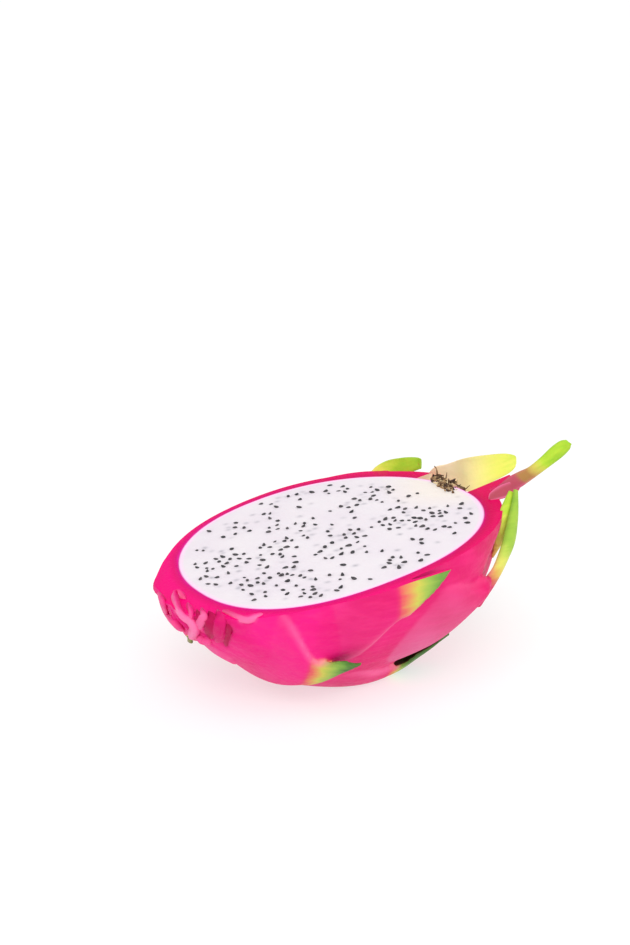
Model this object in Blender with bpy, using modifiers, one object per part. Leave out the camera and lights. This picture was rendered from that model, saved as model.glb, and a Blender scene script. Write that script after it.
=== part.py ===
"""Half of a white-fleshed dragon fruit, cut lengthwise and lying on its skin with the cut face up.

The fruit frame has +X along the fruit's own axis towards the flower end, the cut face in the plane
z = 0 and the kept half below it. An angle round the axis is 0 at the near rim (-Y), 90 at the
bottom (-Z) and 180 at the far rim (+Y). The whole half is then posed: its flower end is raised a
little, and it rests on a small flat spot that holds the world's origin. Lengths are in metres.
"""

import math
import random
from dataclasses import dataclass, replace

import bmesh
import bpy
import numpy as np

# The skin without its scales: two half superellipses end to end, turned round the axis
SKIN_RADIUS = 0.0478
SKIN_CENTRE_X = -0.005
SKIN_TO_STEM = 0.0640
SKIN_TO_FLOWER = 0.061
SKIN_STEM_POWER = 1.96
SKIN_FLOWER_POWER = 2.12

# The flesh, fuller than an ellipsoid towards the stem
FLESH_RADIUS = 0.0446
FLESH_CENTRE_X = -0.0042
FLESH_HALF_LENGTH = 0.0536
FLESH_STEM_POWER = 2.30
FLESH_FLOWER_POWER = 2.08
FIT_GAP = 0.0003

# The fruit's axis bends towards the near side at both ends: y = rise - bend x^2
BEND_RISE = 0.0008
BEND = 1.5

# The underside is shallower towards the stem end
STEM_PINCH = 0.30
PINCH_START_X = -0.036
PINCH_LENGTH = 0.030

# The dried scar, and the pit at the flower end that holds it
SCAR_RADIUS = 0.0086
SCAR_CENTRE_Y = 0.0062
SCAR_BACK_X = 0.042
SCAR_FACE_X = 0.0515
SCAR_DISH = 0.0008
PIT_MOUTH_X = 0.062
PIT_MOUTH_RADIUS = 0.0125
FIBRE_COUNT = 12
FIBRE_LENGTH = 0.0030
FIBRE_LENGTH_SCATTER = (0.7, 1.2)
FIBRE_PLACES = (0.25, 0.62)
FIBRE_RADIUS = 0.0009
FIBRE_ROOT = 0.0012
FIBRE_NARROWING = 0.4
FIBRE_LEAN = 0.0010
FIBRE_DRAW = 3

# How the half rests
AXIS_TILT = math.radians(7.8)
FLAT_DEPTH = 0.0010

# How far scales stand proud, how deep their roots go and how thin their tips get
BASE_SUNK = 0.0008
ROOT_DEPTH = 0.0016
BLADE_THICKNESS = 0.0014
TIP_THICKNESS = 0.0009
POINT_HALF_WIDTH = 0.0009
BASE_SHARE = 0.60
SWELL_SHARE = 0.45

# How a free tip bends, narrows and flattens along its length
LIFT_SHARE = 0.35
DRIFT_POWER = 1.25
POINT_POWER = 1.2
SPOON_SWELL = 0.25
SPOON_END = 0.9
SPOON_END_POWER = 6
TIP_UNWRAP = 1.2
CROWN_RISE_SHARE = 0.6
CROWN_TIP_LOSS = 0.6

# The small folded scales round the stem end
STEM_SCALE_COUNT = 9
STEM_DRAW = 5
STEM_SHIFT = 0.0008
STEM_TURN = 5.0
STEM_CURL = 8.0

# Seeds that the cut shows
SEED_COUNT = 214
SEED_HALF_LENGTH = 0.00105
SEED_HALF_WIDTH = 0.00070
SEED_PROUD = 0.00040
SEED_SHOULDER = 0.00015
SEED_ROOT = 0.0009
SEED_SPACING = 0.0027
SEED_BORDER = 0.0048
SEED_DRAW = 11
SEED_LOOSE_SHARE = 0.34
SEED_CLUMP_SPREAD = 0.0042
SEED_CLUMPS = [
    (-0.025, 0.001), (-0.008, 0.009), (-0.009, 0.016), (-0.011, -0.009), (-0.044, 0.008), (-0.050, -0.003),
    (-0.040, -0.012), (-0.044, -0.023), (-0.028, -0.019), (-0.030, -0.028), (-0.031, -0.012), (0.000, -0.004),
    (0.017, -0.006), (0.017, 0.019), (0.028, 0.000), (0.034, -0.013), (0.040, -0.019), (0.026, 0.016),
    (0.024, -0.014), (-0.001, -0.033), (-0.001, -0.016), (-0.025, 0.030), (-0.005, 0.044), (0.007, 0.037),
    (0.019, 0.030), (-0.038, 0.012), (-0.019, -0.032), (-0.032, -0.036),
]

# Mesh fineness
TURN_STEPS = 44
PROFILE_STEPS = 25
SCAR_STEPS = 20
MERIDIAN_STEPS = 1201
ATTACHED_ROWS = 6
FREE_ROWS = 6
BLADE_COLUMNS = 6
SMALL_ROWS = 3
SMALL_COLUMNS = 4
SEED_SIDES = 4
FIBRE_SIDES = 4
WELD = 0.00002
POLE_DIP = 0.00003
FAR_OUT = 0.3

MAGENTA = (0.80, 0.02, 0.20, 1.0)
FLESH_WHITE = (0.86, 0.82, 0.84, 1.0)
SCAR_BROWN = (0.26, 0.15, 0.07, 1.0)


@dataclass
class Scale:
    """One leafy scale: a shield that runs along the skin towards the flower end, then a free tip.

    free_x and angle give the point where the tip leaves the skin. base_turn turns the shield's
    base away from that angle, and drift carries the tip sideways. lift and curl bend the tip away
    from the skin. A scale stands proud of the skin in its middle and less by its crown at its
    edges. Angles are in degrees, lengths in metres.
    """

    free_x: float
    angle: float
    attached: float
    free: float
    half_width: float
    tip_half_width: float
    base_turn: float = 0.0
    drift: float = 0.0
    lift: float = 8.0
    curl: float = 0.0
    spatulate: bool = False
    proud: float = 0.0024
    widest: float = 0.5
    crown: float = 0.0011


# The scales that the knife's plane may cut, from the stem end to the flower end
CUT_SCALES = [
    Scale(-0.036, 40.5, 0.026, 0.0138, 0.0210, 0.0100, 5, -0.0115, 3, 2, proud=0.0026),
    Scale(-0.034, 122, 0.026, 0.0180, 0.0210, 0.0100, -5, 0.0040, 10, 6, proud=0.0026),
    Scale(-0.0077, 5.5, 0.040, 0.0180, 0.0215, 0.0085, 5, -0.0070, 4, 0),
    Scale(-0.0010, 67, 0.042, 0.0250, 0.0205, 0.0085, 8, -0.0066, -10, 0, proud=0.0046, crown=0.0022),
    Scale(-0.009, 154, 0.040, 0.0220, 0.0205, 0.0085, 0, 0.0030, 8, 8),
    Scale(0.0310, 25.7, 0.056, 0.0225, 0.0200, 0.0036, 18, -0.0157, -7, -33, True, 0.0058, 0.68, 0.0042),
    Scale(0.022, 116, 0.046, 0.0240, 0.0200, 0.0070, 2, 0.0020, 12, 10),
    Scale(0.042, 22, 0.028, 0.0173, 0.0130, 0.0034, -2, -0.0066, -5, -12, True),
    Scale(0.042, 70, 0.036, 0.0170, 0.0140, 0.0046, 4, -0.0030, 4, -6, True),
    Scale(0.043, 144, 0.032, 0.0180, 0.0130, 0.0046, 0, 0.0030, 14, 10),
    Scale(0.0400, 170, 0.036, 0.0060, 0.0130, 0.0060, -6, 0.0, 4, 0),
]

# The scales that rise past the plane of the cut and were missed by the knife
WHOLE_SCALES = [
    Scale(0.0490, -8, 0.006, 0.0466, 0.0046, 0.0028, 6, -0.0068, 53, -34, True, 0.0014),
    Scale(0.0508, 167.6, 0.013, 0.0370, 0.0090, 0.0066, 2, -0.0009, 49, 38, True, 0.0012),
    Scale(0.0403, 177, 0.009, 0.0180, 0.0052, 0.0048, -2, 0.0022, 30, 4, proud=0.0016),
]

# The crown scales that stand round the lower side of the pit
CROWN_SCALES = [
    Scale(0.0505, 46, 0.014, 0.0100, 0.0085, 0.0042, 0, -0.001, 26, 6, True, 0.0014),
    Scale(0.0510, 92, 0.014, 0.0110, 0.0090, 0.0046, 0, 0.001, 30, 8, True, 0.0014),
    Scale(0.0505, 134, 0.014, 0.0150, 0.0085, 0.0042, 0, 0.002, 36, 10, True, 0.0014),
]

# The two kinds of small scale at the stem end. Their angles are set as they are placed.
STEM_KINDS = [
    Scale(-0.0640, 0.0, 0.008, 0.0050, 0.0052, 0.0034, 0, 0.0010, -4, -20, proud=0.0016),
    Scale(-0.0575, 0.0, 0.012, 0.0060, 0.0078, 0.0048, 0, -0.0010, 0, -12, proud=0.0018),
]


def clear_scene():
    for obj in list(bpy.data.objects):
        bpy.data.objects.remove(obj, do_unlink=True)


def smooth(value):
    """0 below 0, 1 above 1 and an S-curve between."""
    held = np.clip(value, 0.0, 1.0)
    return held * held * (3.0 - 2.0 * held)


def meridian(centre, to_stem, to_flower, radius, stem_power, flower_power, steps):
    """(x, radius) from the stem end to the flower end of |x/length|^power + (r/radius)^power = 1."""
    turn = np.linspace(math.pi, 0.0, steps)
    cosine = np.cos(turn)
    reach = np.where(cosine < 0.0, to_stem, to_flower)
    root = 2.0 / np.where(cosine < 0.0, stem_power, flower_power)
    x = centre + reach * np.sign(cosine) * np.abs(cosine) ** root
    return x, radius * np.abs(np.sin(turn)) ** root


def skin_profile(steps):
    powers = (SKIN_STEM_POWER, SKIN_FLOWER_POWER)
    return meridian(SKIN_CENTRE_X, SKIN_TO_STEM, SKIN_TO_FLOWER, SKIN_RADIUS, *powers, steps)


def flesh_profile(steps, grown):
    """The flesh's meridian, grown all round by a gap."""
    length = FLESH_HALF_LENGTH + grown
    powers = (FLESH_STEM_POWER, FLESH_FLOWER_POWER)
    return meridian(FLESH_CENTRE_X, length, length, FLESH_RADIUS + grown, *powers, steps)


def axis_bend(x):
    """How far the bent axis lies towards +Y at x."""
    return BEND_RISE - BEND * x * x


def stem_depth(x):
    """The share of its depth that the skin keeps at x."""
    return 1.0 - STEM_PINCH * smooth((PINCH_START_X - x) / PINCH_LENGTH)


MERIDIAN_X, MERIDIAN_R = skin_profile(MERIDIAN_STEPS)
MERIDIAN_ARC = np.concatenate(
    [[0.0], np.cumsum(np.hypot(np.diff(MERIDIAN_X), np.diff(MERIDIAN_R)))]
)
MERIDIAN_SLOPE = np.unwrap(np.arctan2(np.gradient(MERIDIAN_R), np.gradient(MERIDIAN_X)))


def new_object(name, mesh, collection, parent):
    obj = bpy.data.objects.new(name, mesh)
    collection.objects.link(obj)
    obj.parent = parent
    return obj


def face_outwards(obj):
    """Closes a mesh's poles and turns its faces outwards."""
    mesh = bmesh.new()
    mesh.from_mesh(obj.data)
    bmesh.ops.remove_doubles(mesh, verts=mesh.verts, dist=WELD)
    bmesh.ops.recalc_face_normals(mesh, faces=mesh.faces)
    mesh.to_mesh(obj.data)
    mesh.free()


def apply_modifiers(obj):
    """Replaces an object's mesh with the one that its modifiers make."""
    bpy.context.view_layer.update()
    evaluated = obj.evaluated_get(bpy.context.evaluated_depsgraph_get())
    mesh = bpy.data.meshes.new_from_object(evaluated)
    obj.modifiers.clear()
    obj.data = mesh


def turned_solid(name, x, radius, steps, collection, parent):
    """A profile turned round the X axis by a Screw modifier, closed at both poles.

    It starts half a step away from the plane of the cut, and its poles dip below it, so that
    nothing lies exactly in that plane.
    """
    mesh = bpy.data.meshes.new(name)
    sine = math.sin(math.pi / steps)
    cosine = math.cos(math.pi / steps)
    points = [(float(px), float(pr) * cosine, float(pr) * sine) for px, pr in zip(x, radius)]
    mesh.from_pydata(points, [(i, i + 1) for i in range(len(points) - 1)], [])
    obj = new_object(name, mesh, collection, parent)
    screw = obj.modifiers.new("turn", "SCREW")
    screw.axis = "X"
    screw.steps = steps
    screw.render_steps = steps
    screw.use_merge_vertices = True
    screw.merge_threshold = WELD
    apply_modifiers(obj)
    face_outwards(obj)
    for vertex in obj.data.vertices:
        if math.hypot(vertex.co.y, vertex.co.z) < WELD:
            vertex.co.z -= POLE_DIP
    return obj


def bend_to_axis(obj):
    """Moves a turned solid's points with the bend of the fruit's axis."""
    for vertex in obj.data.vertices:
        vertex.co.y += axis_bend(vertex.co.x)


def pinch_to_stem(obj):
    """Makes a turned solid shallower towards the stem end."""
    for vertex in obj.data.vertices:
        vertex.co.z *= float(stem_depth(vertex.co.x))


def block(name, low, high, collection, parent):
    """A box between two corners, from a cube primitive."""
    bpy.ops.mesh.primitive_cube_add(size=1.0)
    obj = bpy.context.object
    obj.name = name
    for vertex in obj.data.vertices:
        for axis in range(3):
            vertex.co[axis] = low[axis] + (vertex.co[axis] + 0.5) * (high[axis] - low[axis])
    for old in list(obj.users_collection):
        old.objects.unlink(obj)
    collection.objects.link(obj)
    obj.parent = parent
    return obj


def shield_half_width(scale, share):
    """A shield swells from its base, stays wide, then narrows to its tip's base."""
    swell = BASE_SHARE + (1.0 - BASE_SHARE) * smooth(share / SWELL_SHARE)
    narrow = smooth((share - scale.widest) / (1.0 - scale.widest))
    return scale.half_width * swell * (1.0 - narrow) + scale.tip_half_width * narrow


def tip_half_width(scale, share):
    """A pointed tip narrows all the way. A spatulate one swells first, then ends round."""
    if scale.spatulate:
        swollen = 1.0 + SPOON_SWELL * np.sin(math.pi * share)
        width = scale.tip_half_width * swollen * np.sqrt(1.0 - SPOON_END * share**SPOON_END_POWER)
    else:
        width = scale.tip_half_width * (1.0 - share**POINT_POWER)
    return np.maximum(width, POINT_HALF_WIDTH)


def scale_grid(scale, attached_rows, free_rows, columns):
    """The outer and inner points of a scale, as arrays of rows from base to tip.

    The shield's middle line follows the skin's meridian while its angle turns, and each row wraps
    round the axis. The tip's middle line leaves the skin by the lift angle, bends by the curl, and
    its rows flatten. The outer face stands proud of that sheet, crowned across each row. The inner
    face is sunk in the skin along the shield and a blade's thickness below the outer one after it.
    """
    free_arc = np.interp(scale.free_x, MERIDIAN_X, MERIDIAN_ARC)
    along = np.linspace(0.0, 1.0, attached_rows + 1)
    arc = np.maximum(free_arc + (along - 1.0) * scale.attached, MERIDIAN_ARC[4])
    x = np.interp(arc, MERIDIAN_ARC, MERIDIAN_X)
    radius = np.interp(arc, MERIDIAN_ARC, MERIDIAN_R)
    slope = np.interp(arc, MERIDIAN_ARC, MERIDIAN_SLOPE)
    angle = np.radians(scale.angle + scale.base_turn * (1.0 - smooth(along)))
    width = shield_half_width(scale, along)
    outer = -BASE_SUNK + (scale.proud + BASE_SUNK) * smooth(along)
    inner = np.full_like(outer, -ROOT_DEPTH)

    share = np.linspace(0.0, 1.0, free_rows + 1)[1:]
    step = scale.free / free_rows
    lifted = math.radians(scale.lift) * smooth(share / LIFT_SHARE)
    bend = slope[-1] + lifted + math.radians(scale.curl) * share
    tip_x = x[-1] + np.cumsum(np.cos(bend)) * step
    tip_radius = radius[-1] + np.cumsum(np.sin(bend)) * step
    tip_outer = np.full_like(share, scale.proud)
    thickness = BLADE_THICKNESS + (TIP_THICKNESS - BLADE_THICKNESS) * share

    x = np.concatenate([x, tip_x])
    radius = np.concatenate([radius, tip_radius])
    slope = np.concatenate([slope, bend])
    angle = np.concatenate([angle, np.full_like(share, angle[-1])])
    width = np.concatenate([width, tip_half_width(scale, share)])
    outer = np.concatenate([outer, tip_outer])
    inner = np.concatenate([inner, tip_outer - thickness])
    sideways = np.concatenate([np.zeros_like(along), scale.drift * share**DRIFT_POWER])
    wrap = np.concatenate([radius[: len(along)], np.full_like(share, radius[attached_rows])])
    wrap = wrap * np.concatenate([np.ones_like(along), 1.0 + TIP_UNWRAP * share])
    crowned = [smooth(along / CROWN_RISE_SHARE), 1.0 - CROWN_TIP_LOSS * share]
    drop = scale.crown * np.concatenate(crowned)

    across = np.linspace(-1.0, 1.0, columns + 1)[None, :]
    column = (slice(None), None)
    turn = across * width[column] / wrap[column]
    out_radial = radius[column] - wrap[column] * (1.0 - np.cos(turn))
    out_side = sideways[column] + wrap[column] * np.sin(turn)
    normal_x = -np.sin(slope[column]) + 0.0 * turn
    normal_radial = np.cos(slope[column]) * np.cos(turn)
    normal_side = np.cos(slope[column]) * np.sin(turn)
    crown = drop[column] * across**2
    under = np.where(inner[column] > 0.0, inner[column] - crown, inner[column])
    faces = []
    for height in (outer[column] - crown, np.minimum(under, outer[column])):
        px = x[column] + height * normal_x
        radial = out_radial + height * normal_radial
        side = out_side + height * normal_side
        cosine = np.cos(angle[column])
        sine = np.sin(angle[column])
        y = -radial * cosine + side * sine + axis_bend(px)
        z = (-radial * sine - side * cosine) * stem_depth(px)
        faces.append(np.stack([px + 0.0 * turn, y, z], axis=-1))
    return faces


def sheet_solid(name, outer, inner, collection, parent):
    """A closed solid between two grids of points, split into triangles alike on both faces."""
    rows, columns = outer.shape[:2]
    layer = rows * columns
    points = np.concatenate([outer.reshape(-1, 3), inner.reshape(-1, 3)])
    faces = []
    for r in range(rows - 1):
        for c in range(columns - 1):
            a, b = r * columns + c, r * columns + c + 1
            d, e = a + columns, b + columns
            faces += [(a, b, e), (a, e, d)]
            faces += [(layer + a, layer + e, layer + b), (layer + a, layer + d, layer + e)]
    rim = list(range(columns))
    rim += [r * columns + columns - 1 for r in range(1, rows)]
    rim += [(rows - 1) * columns + c for c in range(columns - 2, -1, -1)]
    rim += [r * columns for r in range(rows - 2, 0, -1)]
    for a, b in zip(rim, rim[1:] + rim[:1]):
        faces += [(a, layer + a, layer + b), (a, layer + b, b)]
    mesh = bpy.data.meshes.new(name)
    mesh.from_pydata([tuple(map(float, p)) for p in points], [], faces)
    obj = new_object(name, mesh, collection, parent)
    face_outwards(obj)
    return obj


def scale_solid(name, scale, collection, parent):
    grid = scale_grid(scale, ATTACHED_ROWS, FREE_ROWS, BLADE_COLUMNS)
    return sheet_solid(name, *grid, collection, parent)


def small_scale_solid(name, scale, collection, parent):
    grid = scale_grid(scale, SMALL_ROWS, SMALL_ROWS, SMALL_COLUMNS)
    return sheet_solid(name, *grid, collection, parent)


def stem_scales():
    """Small folded scales at the stem end: two kinds in turn, even round it but for a seeded scatter."""
    draw = random.Random(STEM_DRAW)
    scales = []
    for i in range(STEM_SCALE_COUNT):
        kind = STEM_KINDS[i % len(STEM_KINDS)]
        scattered = replace(
            kind,
            free_x=kind.free_x + draw.uniform(-STEM_SHIFT, STEM_SHIFT),
            angle=180.0 * (i + 0.5) / STEM_SCALE_COUNT + draw.uniform(-STEM_TURN, STEM_TURN),
            curl=kind.curl + draw.uniform(-STEM_CURL, STEM_CURL),
        )
        scales.append(scattered)
    return scales


def join(obj, collection, solver="EXACT"):
    """Joins a collection's solids to an object, applies it and removes the collection."""
    boolean = obj.modifiers.new("join " + collection.name, "BOOLEAN")
    boolean.operation = "UNION"
    boolean.operand_type = "COLLECTION"
    boolean.collection = collection
    boolean.solver = solver
    apply_modifiers(obj)
    for piece in list(collection.objects):
        bpy.data.objects.remove(piece, do_unlink=True)
    bpy.data.collections.remove(collection)


def cut(obj, cutter, solver="EXACT"):
    """Takes a cutter away from an object."""
    boolean = obj.modifiers.new("cut by " + cutter.name, "BOOLEAN")
    boolean.operation = "DIFFERENCE"
    boolean.object = cutter
    boolean.solver = solver


def keep_main_shell(obj):
    """Drops loose scraps, and fills hollows that joining sealed, by keeping the largest shell."""
    mesh = bmesh.new()
    mesh.from_mesh(obj.data)
    left = set(mesh.verts)
    shells = []
    while left:
        front = [left.pop()]
        shell = list(front)
        while front:
            vertex = front.pop()
            for edge in vertex.link_edges:
                other = edge.other_vert(vertex)
                if other in left:
                    left.remove(other)
                    front.append(other)
                    shell.append(other)
        shells.append(shell)
    main = max(shells, key=len)
    for shell in shells:
        if shell is not main:
            bmesh.ops.delete(mesh, geom=shell, context="VERTS")
    mesh.to_mesh(obj.data)
    mesh.free()


def scratch_collection(name):
    collection = bpy.data.collections.new(name)
    bpy.context.scene.collection.children.link(collection)
    return collection


def material(name, colour, roughness):
    made = bpy.data.materials.new(name)
    made.use_nodes = True
    shader = made.node_tree.nodes["Principled BSDF"]
    shader.inputs["Base Color"].default_value = colour
    shader.inputs["Roughness"].default_value = roughness
    shader.inputs["Metallic"].default_value = 0.0
    return made


def seed_places():
    """(x, y, turn) of each seed: in clumps, with some loose ones between, inside a clear border."""
    draw = random.Random(SEED_DRAW)
    length = FLESH_HALF_LENGTH - SEED_BORDER
    radius = FLESH_RADIUS - SEED_BORDER
    places = []
    while len(places) < SEED_COUNT:
        turn = draw.uniform(0.0, math.pi)
        if draw.random() < SEED_LOOSE_SHARE:
            x = FLESH_CENTRE_X + draw.uniform(-length, length)
            y = draw.uniform(-radius, radius)
        else:
            clump = draw.choice(SEED_CLUMPS)
            x = clump[0] + draw.gauss(0.0, SEED_CLUMP_SPREAD)
            y = clump[1] + draw.gauss(0.0, SEED_CLUMP_SPREAD)
        if ((x - FLESH_CENTRE_X) / length) ** 2 + (y / radius) ** 2 > 1.0:
            continue
        if math.hypot(x - SCAR_FACE_X, y - SCAR_CENTRE_Y) < SCAR_RADIUS + SEED_BORDER:
            continue
        if all(math.hypot(x - px, y - py) > SEED_SPACING for px, py, _ in places):
            places.append((x, y, turn))
    return places


def seed_field(collection, parent):
    """Each seed is a low faceted drop across the cut, with a point below for its root."""
    for number, (x, y, turn) in enumerate(seed_places()):
        mesh = bmesh.new()
        ring = []
        for side in range(SEED_SIDES):
            way = 2.0 * math.pi * side / SEED_SIDES
            along = SEED_HALF_LENGTH * math.cos(way)
            across = SEED_HALF_WIDTH * math.sin(way)
            px = x + along * math.cos(turn) - across * math.sin(turn)
            py = y + along * math.sin(turn) + across * math.cos(turn)
            ring.append(mesh.verts.new((px, py, SEED_SHOULDER)))
        top = mesh.verts.new((x, y, SEED_PROUD))
        root = mesh.verts.new((x, y, -SEED_ROOT))
        for a, b in zip(ring, ring[1:] + ring[:1]):
            mesh.faces.new((a, b, top))
            mesh.faces.new((b, a, root))
        data = bpy.data.meshes.new(f"seed {number}")
        mesh.to_mesh(data)
        mesh.free()
        new_object(f"seed {number}", data, collection, parent)


def fibre_field(collection, parent):
    """Short slanted cones on the scar's face, fused to it, for the shreds of the dried flower."""
    draw = random.Random(FIBRE_DRAW)
    for number in range(FIBRE_COUNT):
        angle = math.radians(180.0 * (number + 0.5) / FIBRE_COUNT)
        radius = SCAR_RADIUS * draw.uniform(*FIBRE_PLACES)
        y = SCAR_CENTRE_Y - radius * math.cos(angle)
        z = -radius * math.sin(angle)
        length = FIBRE_LENGTH * draw.uniform(*FIBRE_LENGTH_SCATTER)
        lean = (draw.uniform(-FIBRE_LEAN, FIBRE_LEAN), draw.uniform(-FIBRE_LEAN, 0.0))
        mesh = bmesh.new()
        low = []
        high = []
        for side in range(FIBRE_SIDES):
            way = 2.0 * math.pi * side / FIBRE_SIDES
            oy = FIBRE_RADIUS * math.cos(way)
            oz = FIBRE_RADIUS * math.sin(way)
            low.append(mesh.verts.new((SCAR_FACE_X - FIBRE_ROOT, y + oy, z + oz)))
            tip_y = y + lean[0] + FIBRE_NARROWING * oy
            tip_z = z + lean[1] + FIBRE_NARROWING * oz
            high.append(mesh.verts.new((SCAR_FACE_X + length, tip_y, tip_z)))
        mesh.faces.new(low)
        mesh.faces.new(high)
        for i in range(FIBRE_SIDES):
            j = (i + 1) % FIBRE_SIDES
            mesh.faces.new((low[i], low[j], high[j], high[i]))
        bmesh.ops.recalc_face_normals(mesh, faces=mesh.faces)
        data = bpy.data.meshes.new(f"fibre {number}")
        mesh.to_mesh(data)
        mesh.free()
        new_object(f"fibre {number}", data, collection, parent)


def pose_empty(collection):
    """The empty that raises the flower end and sets the lowest skin on the floor's origin."""
    height = MERIDIAN_X * math.sin(AXIS_TILT) - MERIDIAN_R * math.cos(AXIS_TILT)
    lowest = int(np.argmin(height))
    sideways = MERIDIAN_X[lowest] * math.cos(AXIS_TILT) + MERIDIAN_R[lowest] * math.sin(AXIS_TILT)
    empty = bpy.data.objects.new("lying", None)
    collection.objects.link(empty)
    empty.rotation_euler = (0.0, -AXIS_TILT, 0.0)
    empty.location = (-float(sideways), 0.0, -float(height[lowest]) - FLAT_DEPTH)
    return empty


def build_rind(parts, cutters, pose, above, cavity):
    """The skin and its scales, hollowed for the flesh and opened at the flower end."""
    rind = turned_solid("rind", *skin_profile(PROFILE_STEPS), TURN_STEPS, parts, pose)
    bend_to_axis(rind)
    pinch_to_stem(rind)
    leaves = scratch_collection("cut scales")
    for number, scale in enumerate(CUT_SCALES + CROWN_SCALES):
        scale_solid(f"cut scale {number}", scale, leaves, pose)
    for number, scale in enumerate(stem_scales()):
        small_scale_solid(f"stem scale {number}", scale, leaves, pose)
    join(rind, leaves, "MANIFOLD")
    pit_x = [SCAR_BACK_X, SCAR_BACK_X, SCAR_FACE_X, PIT_MOUTH_X, PIT_MOUTH_X]
    pit_radius = [0.0, SCAR_RADIUS + FIT_GAP, SCAR_RADIUS + FIT_GAP, PIT_MOUTH_RADIUS, 0.0]
    pit = turned_solid("pit", pit_x, pit_radius, SCAR_STEPS, cutters, pose)
    pit.location.y = SCAR_CENTRE_Y
    cut(rind, pit, "MANIFOLD")
    cut(rind, above, "MANIFOLD")
    apply_modifiers(rind)
    whole = scratch_collection("whole scales")
    for number, scale in enumerate(WHOLE_SCALES):
        scale_solid(f"whole scale {number}", scale, whole, pose)
    join(rind, whole, "MANIFOLD")
    floor = block("floor", (-FAR_OUT, -FAR_OUT, -FAR_OUT), (FAR_OUT, FAR_OUT, 0.0), cutters, None)
    cut(rind, cavity, "MANIFOLD")
    cut(rind, floor, "MANIFOLD")
    apply_modifiers(rind)
    keep_main_shell(rind)
    rind.data.materials.clear()
    rind.data.materials.append(material("skin", MAGENTA, 0.42))
    return rind


def build_flesh(parts, pose, above):
    """The flesh up to the cut, with the seeds fused to its face."""
    flesh = turned_solid("flesh", *flesh_profile(PROFILE_STEPS, 0.0), TURN_STEPS, parts, pose)
    bend_to_axis(flesh)
    cut(flesh, above)
    apply_modifiers(flesh)
    seeds = scratch_collection("seeds")
    seed_field(seeds, pose)
    join(flesh, seeds, "MANIFOLD")
    flesh.data.materials.clear()
    flesh.data.materials.append(material("flesh", FLESH_WHITE, 0.35))
    return flesh


def build_scar(parts, pose, above, cavity):
    """The dried scar: a dished plug whose back follows the flesh, with shreds on its face."""
    x = [SCAR_BACK_X, SCAR_BACK_X, SCAR_FACE_X, SCAR_FACE_X - SCAR_DISH]
    radius = [0.0, SCAR_RADIUS, SCAR_RADIUS, 0.0]
    scar = turned_solid("flower_scar", x, radius, SCAR_STEPS, parts, pose)
    for vertex in scar.data.vertices:
        vertex.co.y += SCAR_CENTRE_Y
    fibres = scratch_collection("fibres")
    fibre_field(fibres, pose)
    join(scar, fibres, "MANIFOLD")
    cut(scar, cavity, "MANIFOLD")
    cut(scar, above, "MANIFOLD")
    apply_modifiers(scar)
    keep_main_shell(scar)
    scar.data.materials.clear()
    scar.data.materials.append(material("dried flower", SCAR_BROWN, 0.85))
    return scar


def main():
    clear_scene()
    parts = scratch_collection("dragon fruit half")
    cutters = scratch_collection("cutters")
    pose = pose_empty(parts)
    above = block("above the cut", (-FAR_OUT, -FAR_OUT, 0.0), (FAR_OUT, FAR_OUT, FAR_OUT), cutters, pose)
    grown = flesh_profile(PROFILE_STEPS, FIT_GAP)
    cavity = turned_solid("flesh cavity", *grown, TURN_STEPS, cutters, pose)
    bend_to_axis(cavity)
    build_rind(parts, cutters, pose, above, cavity)
    build_flesh(parts, pose, above)
    build_scar(parts, pose, above, cavity)
    for cutter in cutters.objects:
        cutter.hide_render = True
        cutter.display_type = "WIRE"


main()
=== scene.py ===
"""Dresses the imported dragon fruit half: its rind with leafy scales, its seeded flesh and its dried scar.

The fruit frame has +X along the fruit's axis towards the flower end, the plane of the cut at z = 0
and the kept half below it. An angle round the axis is 0 at the near rim (-Y), 90 at the bottom and
180 at the far rim. Shapes are worked out there, then carried to where the half lies. Lengths are in
metres.
"""

from __future__ import annotations

import logging
import math
import random
from dataclasses import dataclass, field, replace
from enum import Enum

import bpy
import numpy as np
from mathutils import Matrix, Vector


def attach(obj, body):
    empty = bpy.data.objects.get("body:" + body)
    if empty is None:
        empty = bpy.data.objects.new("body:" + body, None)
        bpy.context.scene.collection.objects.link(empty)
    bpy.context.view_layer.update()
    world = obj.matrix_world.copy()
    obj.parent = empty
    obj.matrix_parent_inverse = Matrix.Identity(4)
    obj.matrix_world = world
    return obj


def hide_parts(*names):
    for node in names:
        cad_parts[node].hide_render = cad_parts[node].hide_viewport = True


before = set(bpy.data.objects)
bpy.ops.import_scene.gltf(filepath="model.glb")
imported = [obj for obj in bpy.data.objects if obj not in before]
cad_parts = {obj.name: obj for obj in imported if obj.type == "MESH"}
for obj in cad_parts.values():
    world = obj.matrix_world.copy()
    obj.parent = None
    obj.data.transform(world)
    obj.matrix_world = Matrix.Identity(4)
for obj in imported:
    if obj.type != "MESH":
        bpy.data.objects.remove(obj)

LOG = logging.getLogger("dragon fruit half")
BODY = "root"

Array = np.ndarray
Colour = tuple[float, float, float]
Piece = bpy.types.Object
Mesh = bpy.types.Mesh
Material = bpy.types.Material
Tree = bpy.types.NodeTree
Node = bpy.types.Node
Socket = bpy.types.NodeSocket

FULL_TURN = 2.0 * math.pi
MILLIMETRE = 0.001


def smooth(value: Array | float) -> Array:
    """0 below 0, 1 above 1 and an S-curve between."""
    held = np.clip(value, 0.0, 1.0)
    return held * held * (3.0 - 2.0 * held)


def smooth_step(value: Array, low: float, high: float) -> Array:
    """0 below low, 1 above high and a straight line between."""
    return np.clip((value - low) / (high - low), 0.0, 1.0)


def hill(value: Array | float) -> Array:
    """A bell curve: 1 at 0, and nearly 0 past 2 either way."""
    return np.exp(-np.square(value))


def unit(vectors: Array) -> Array:
    """Vectors at length 1."""
    return vectors / np.linalg.norm(vectors, axis=-1, keepdims=True)


def ring_angles(count: int) -> Array:
    """Even angles round a ring, from 0."""
    return np.arange(count) * (FULL_TURN / count)


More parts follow.
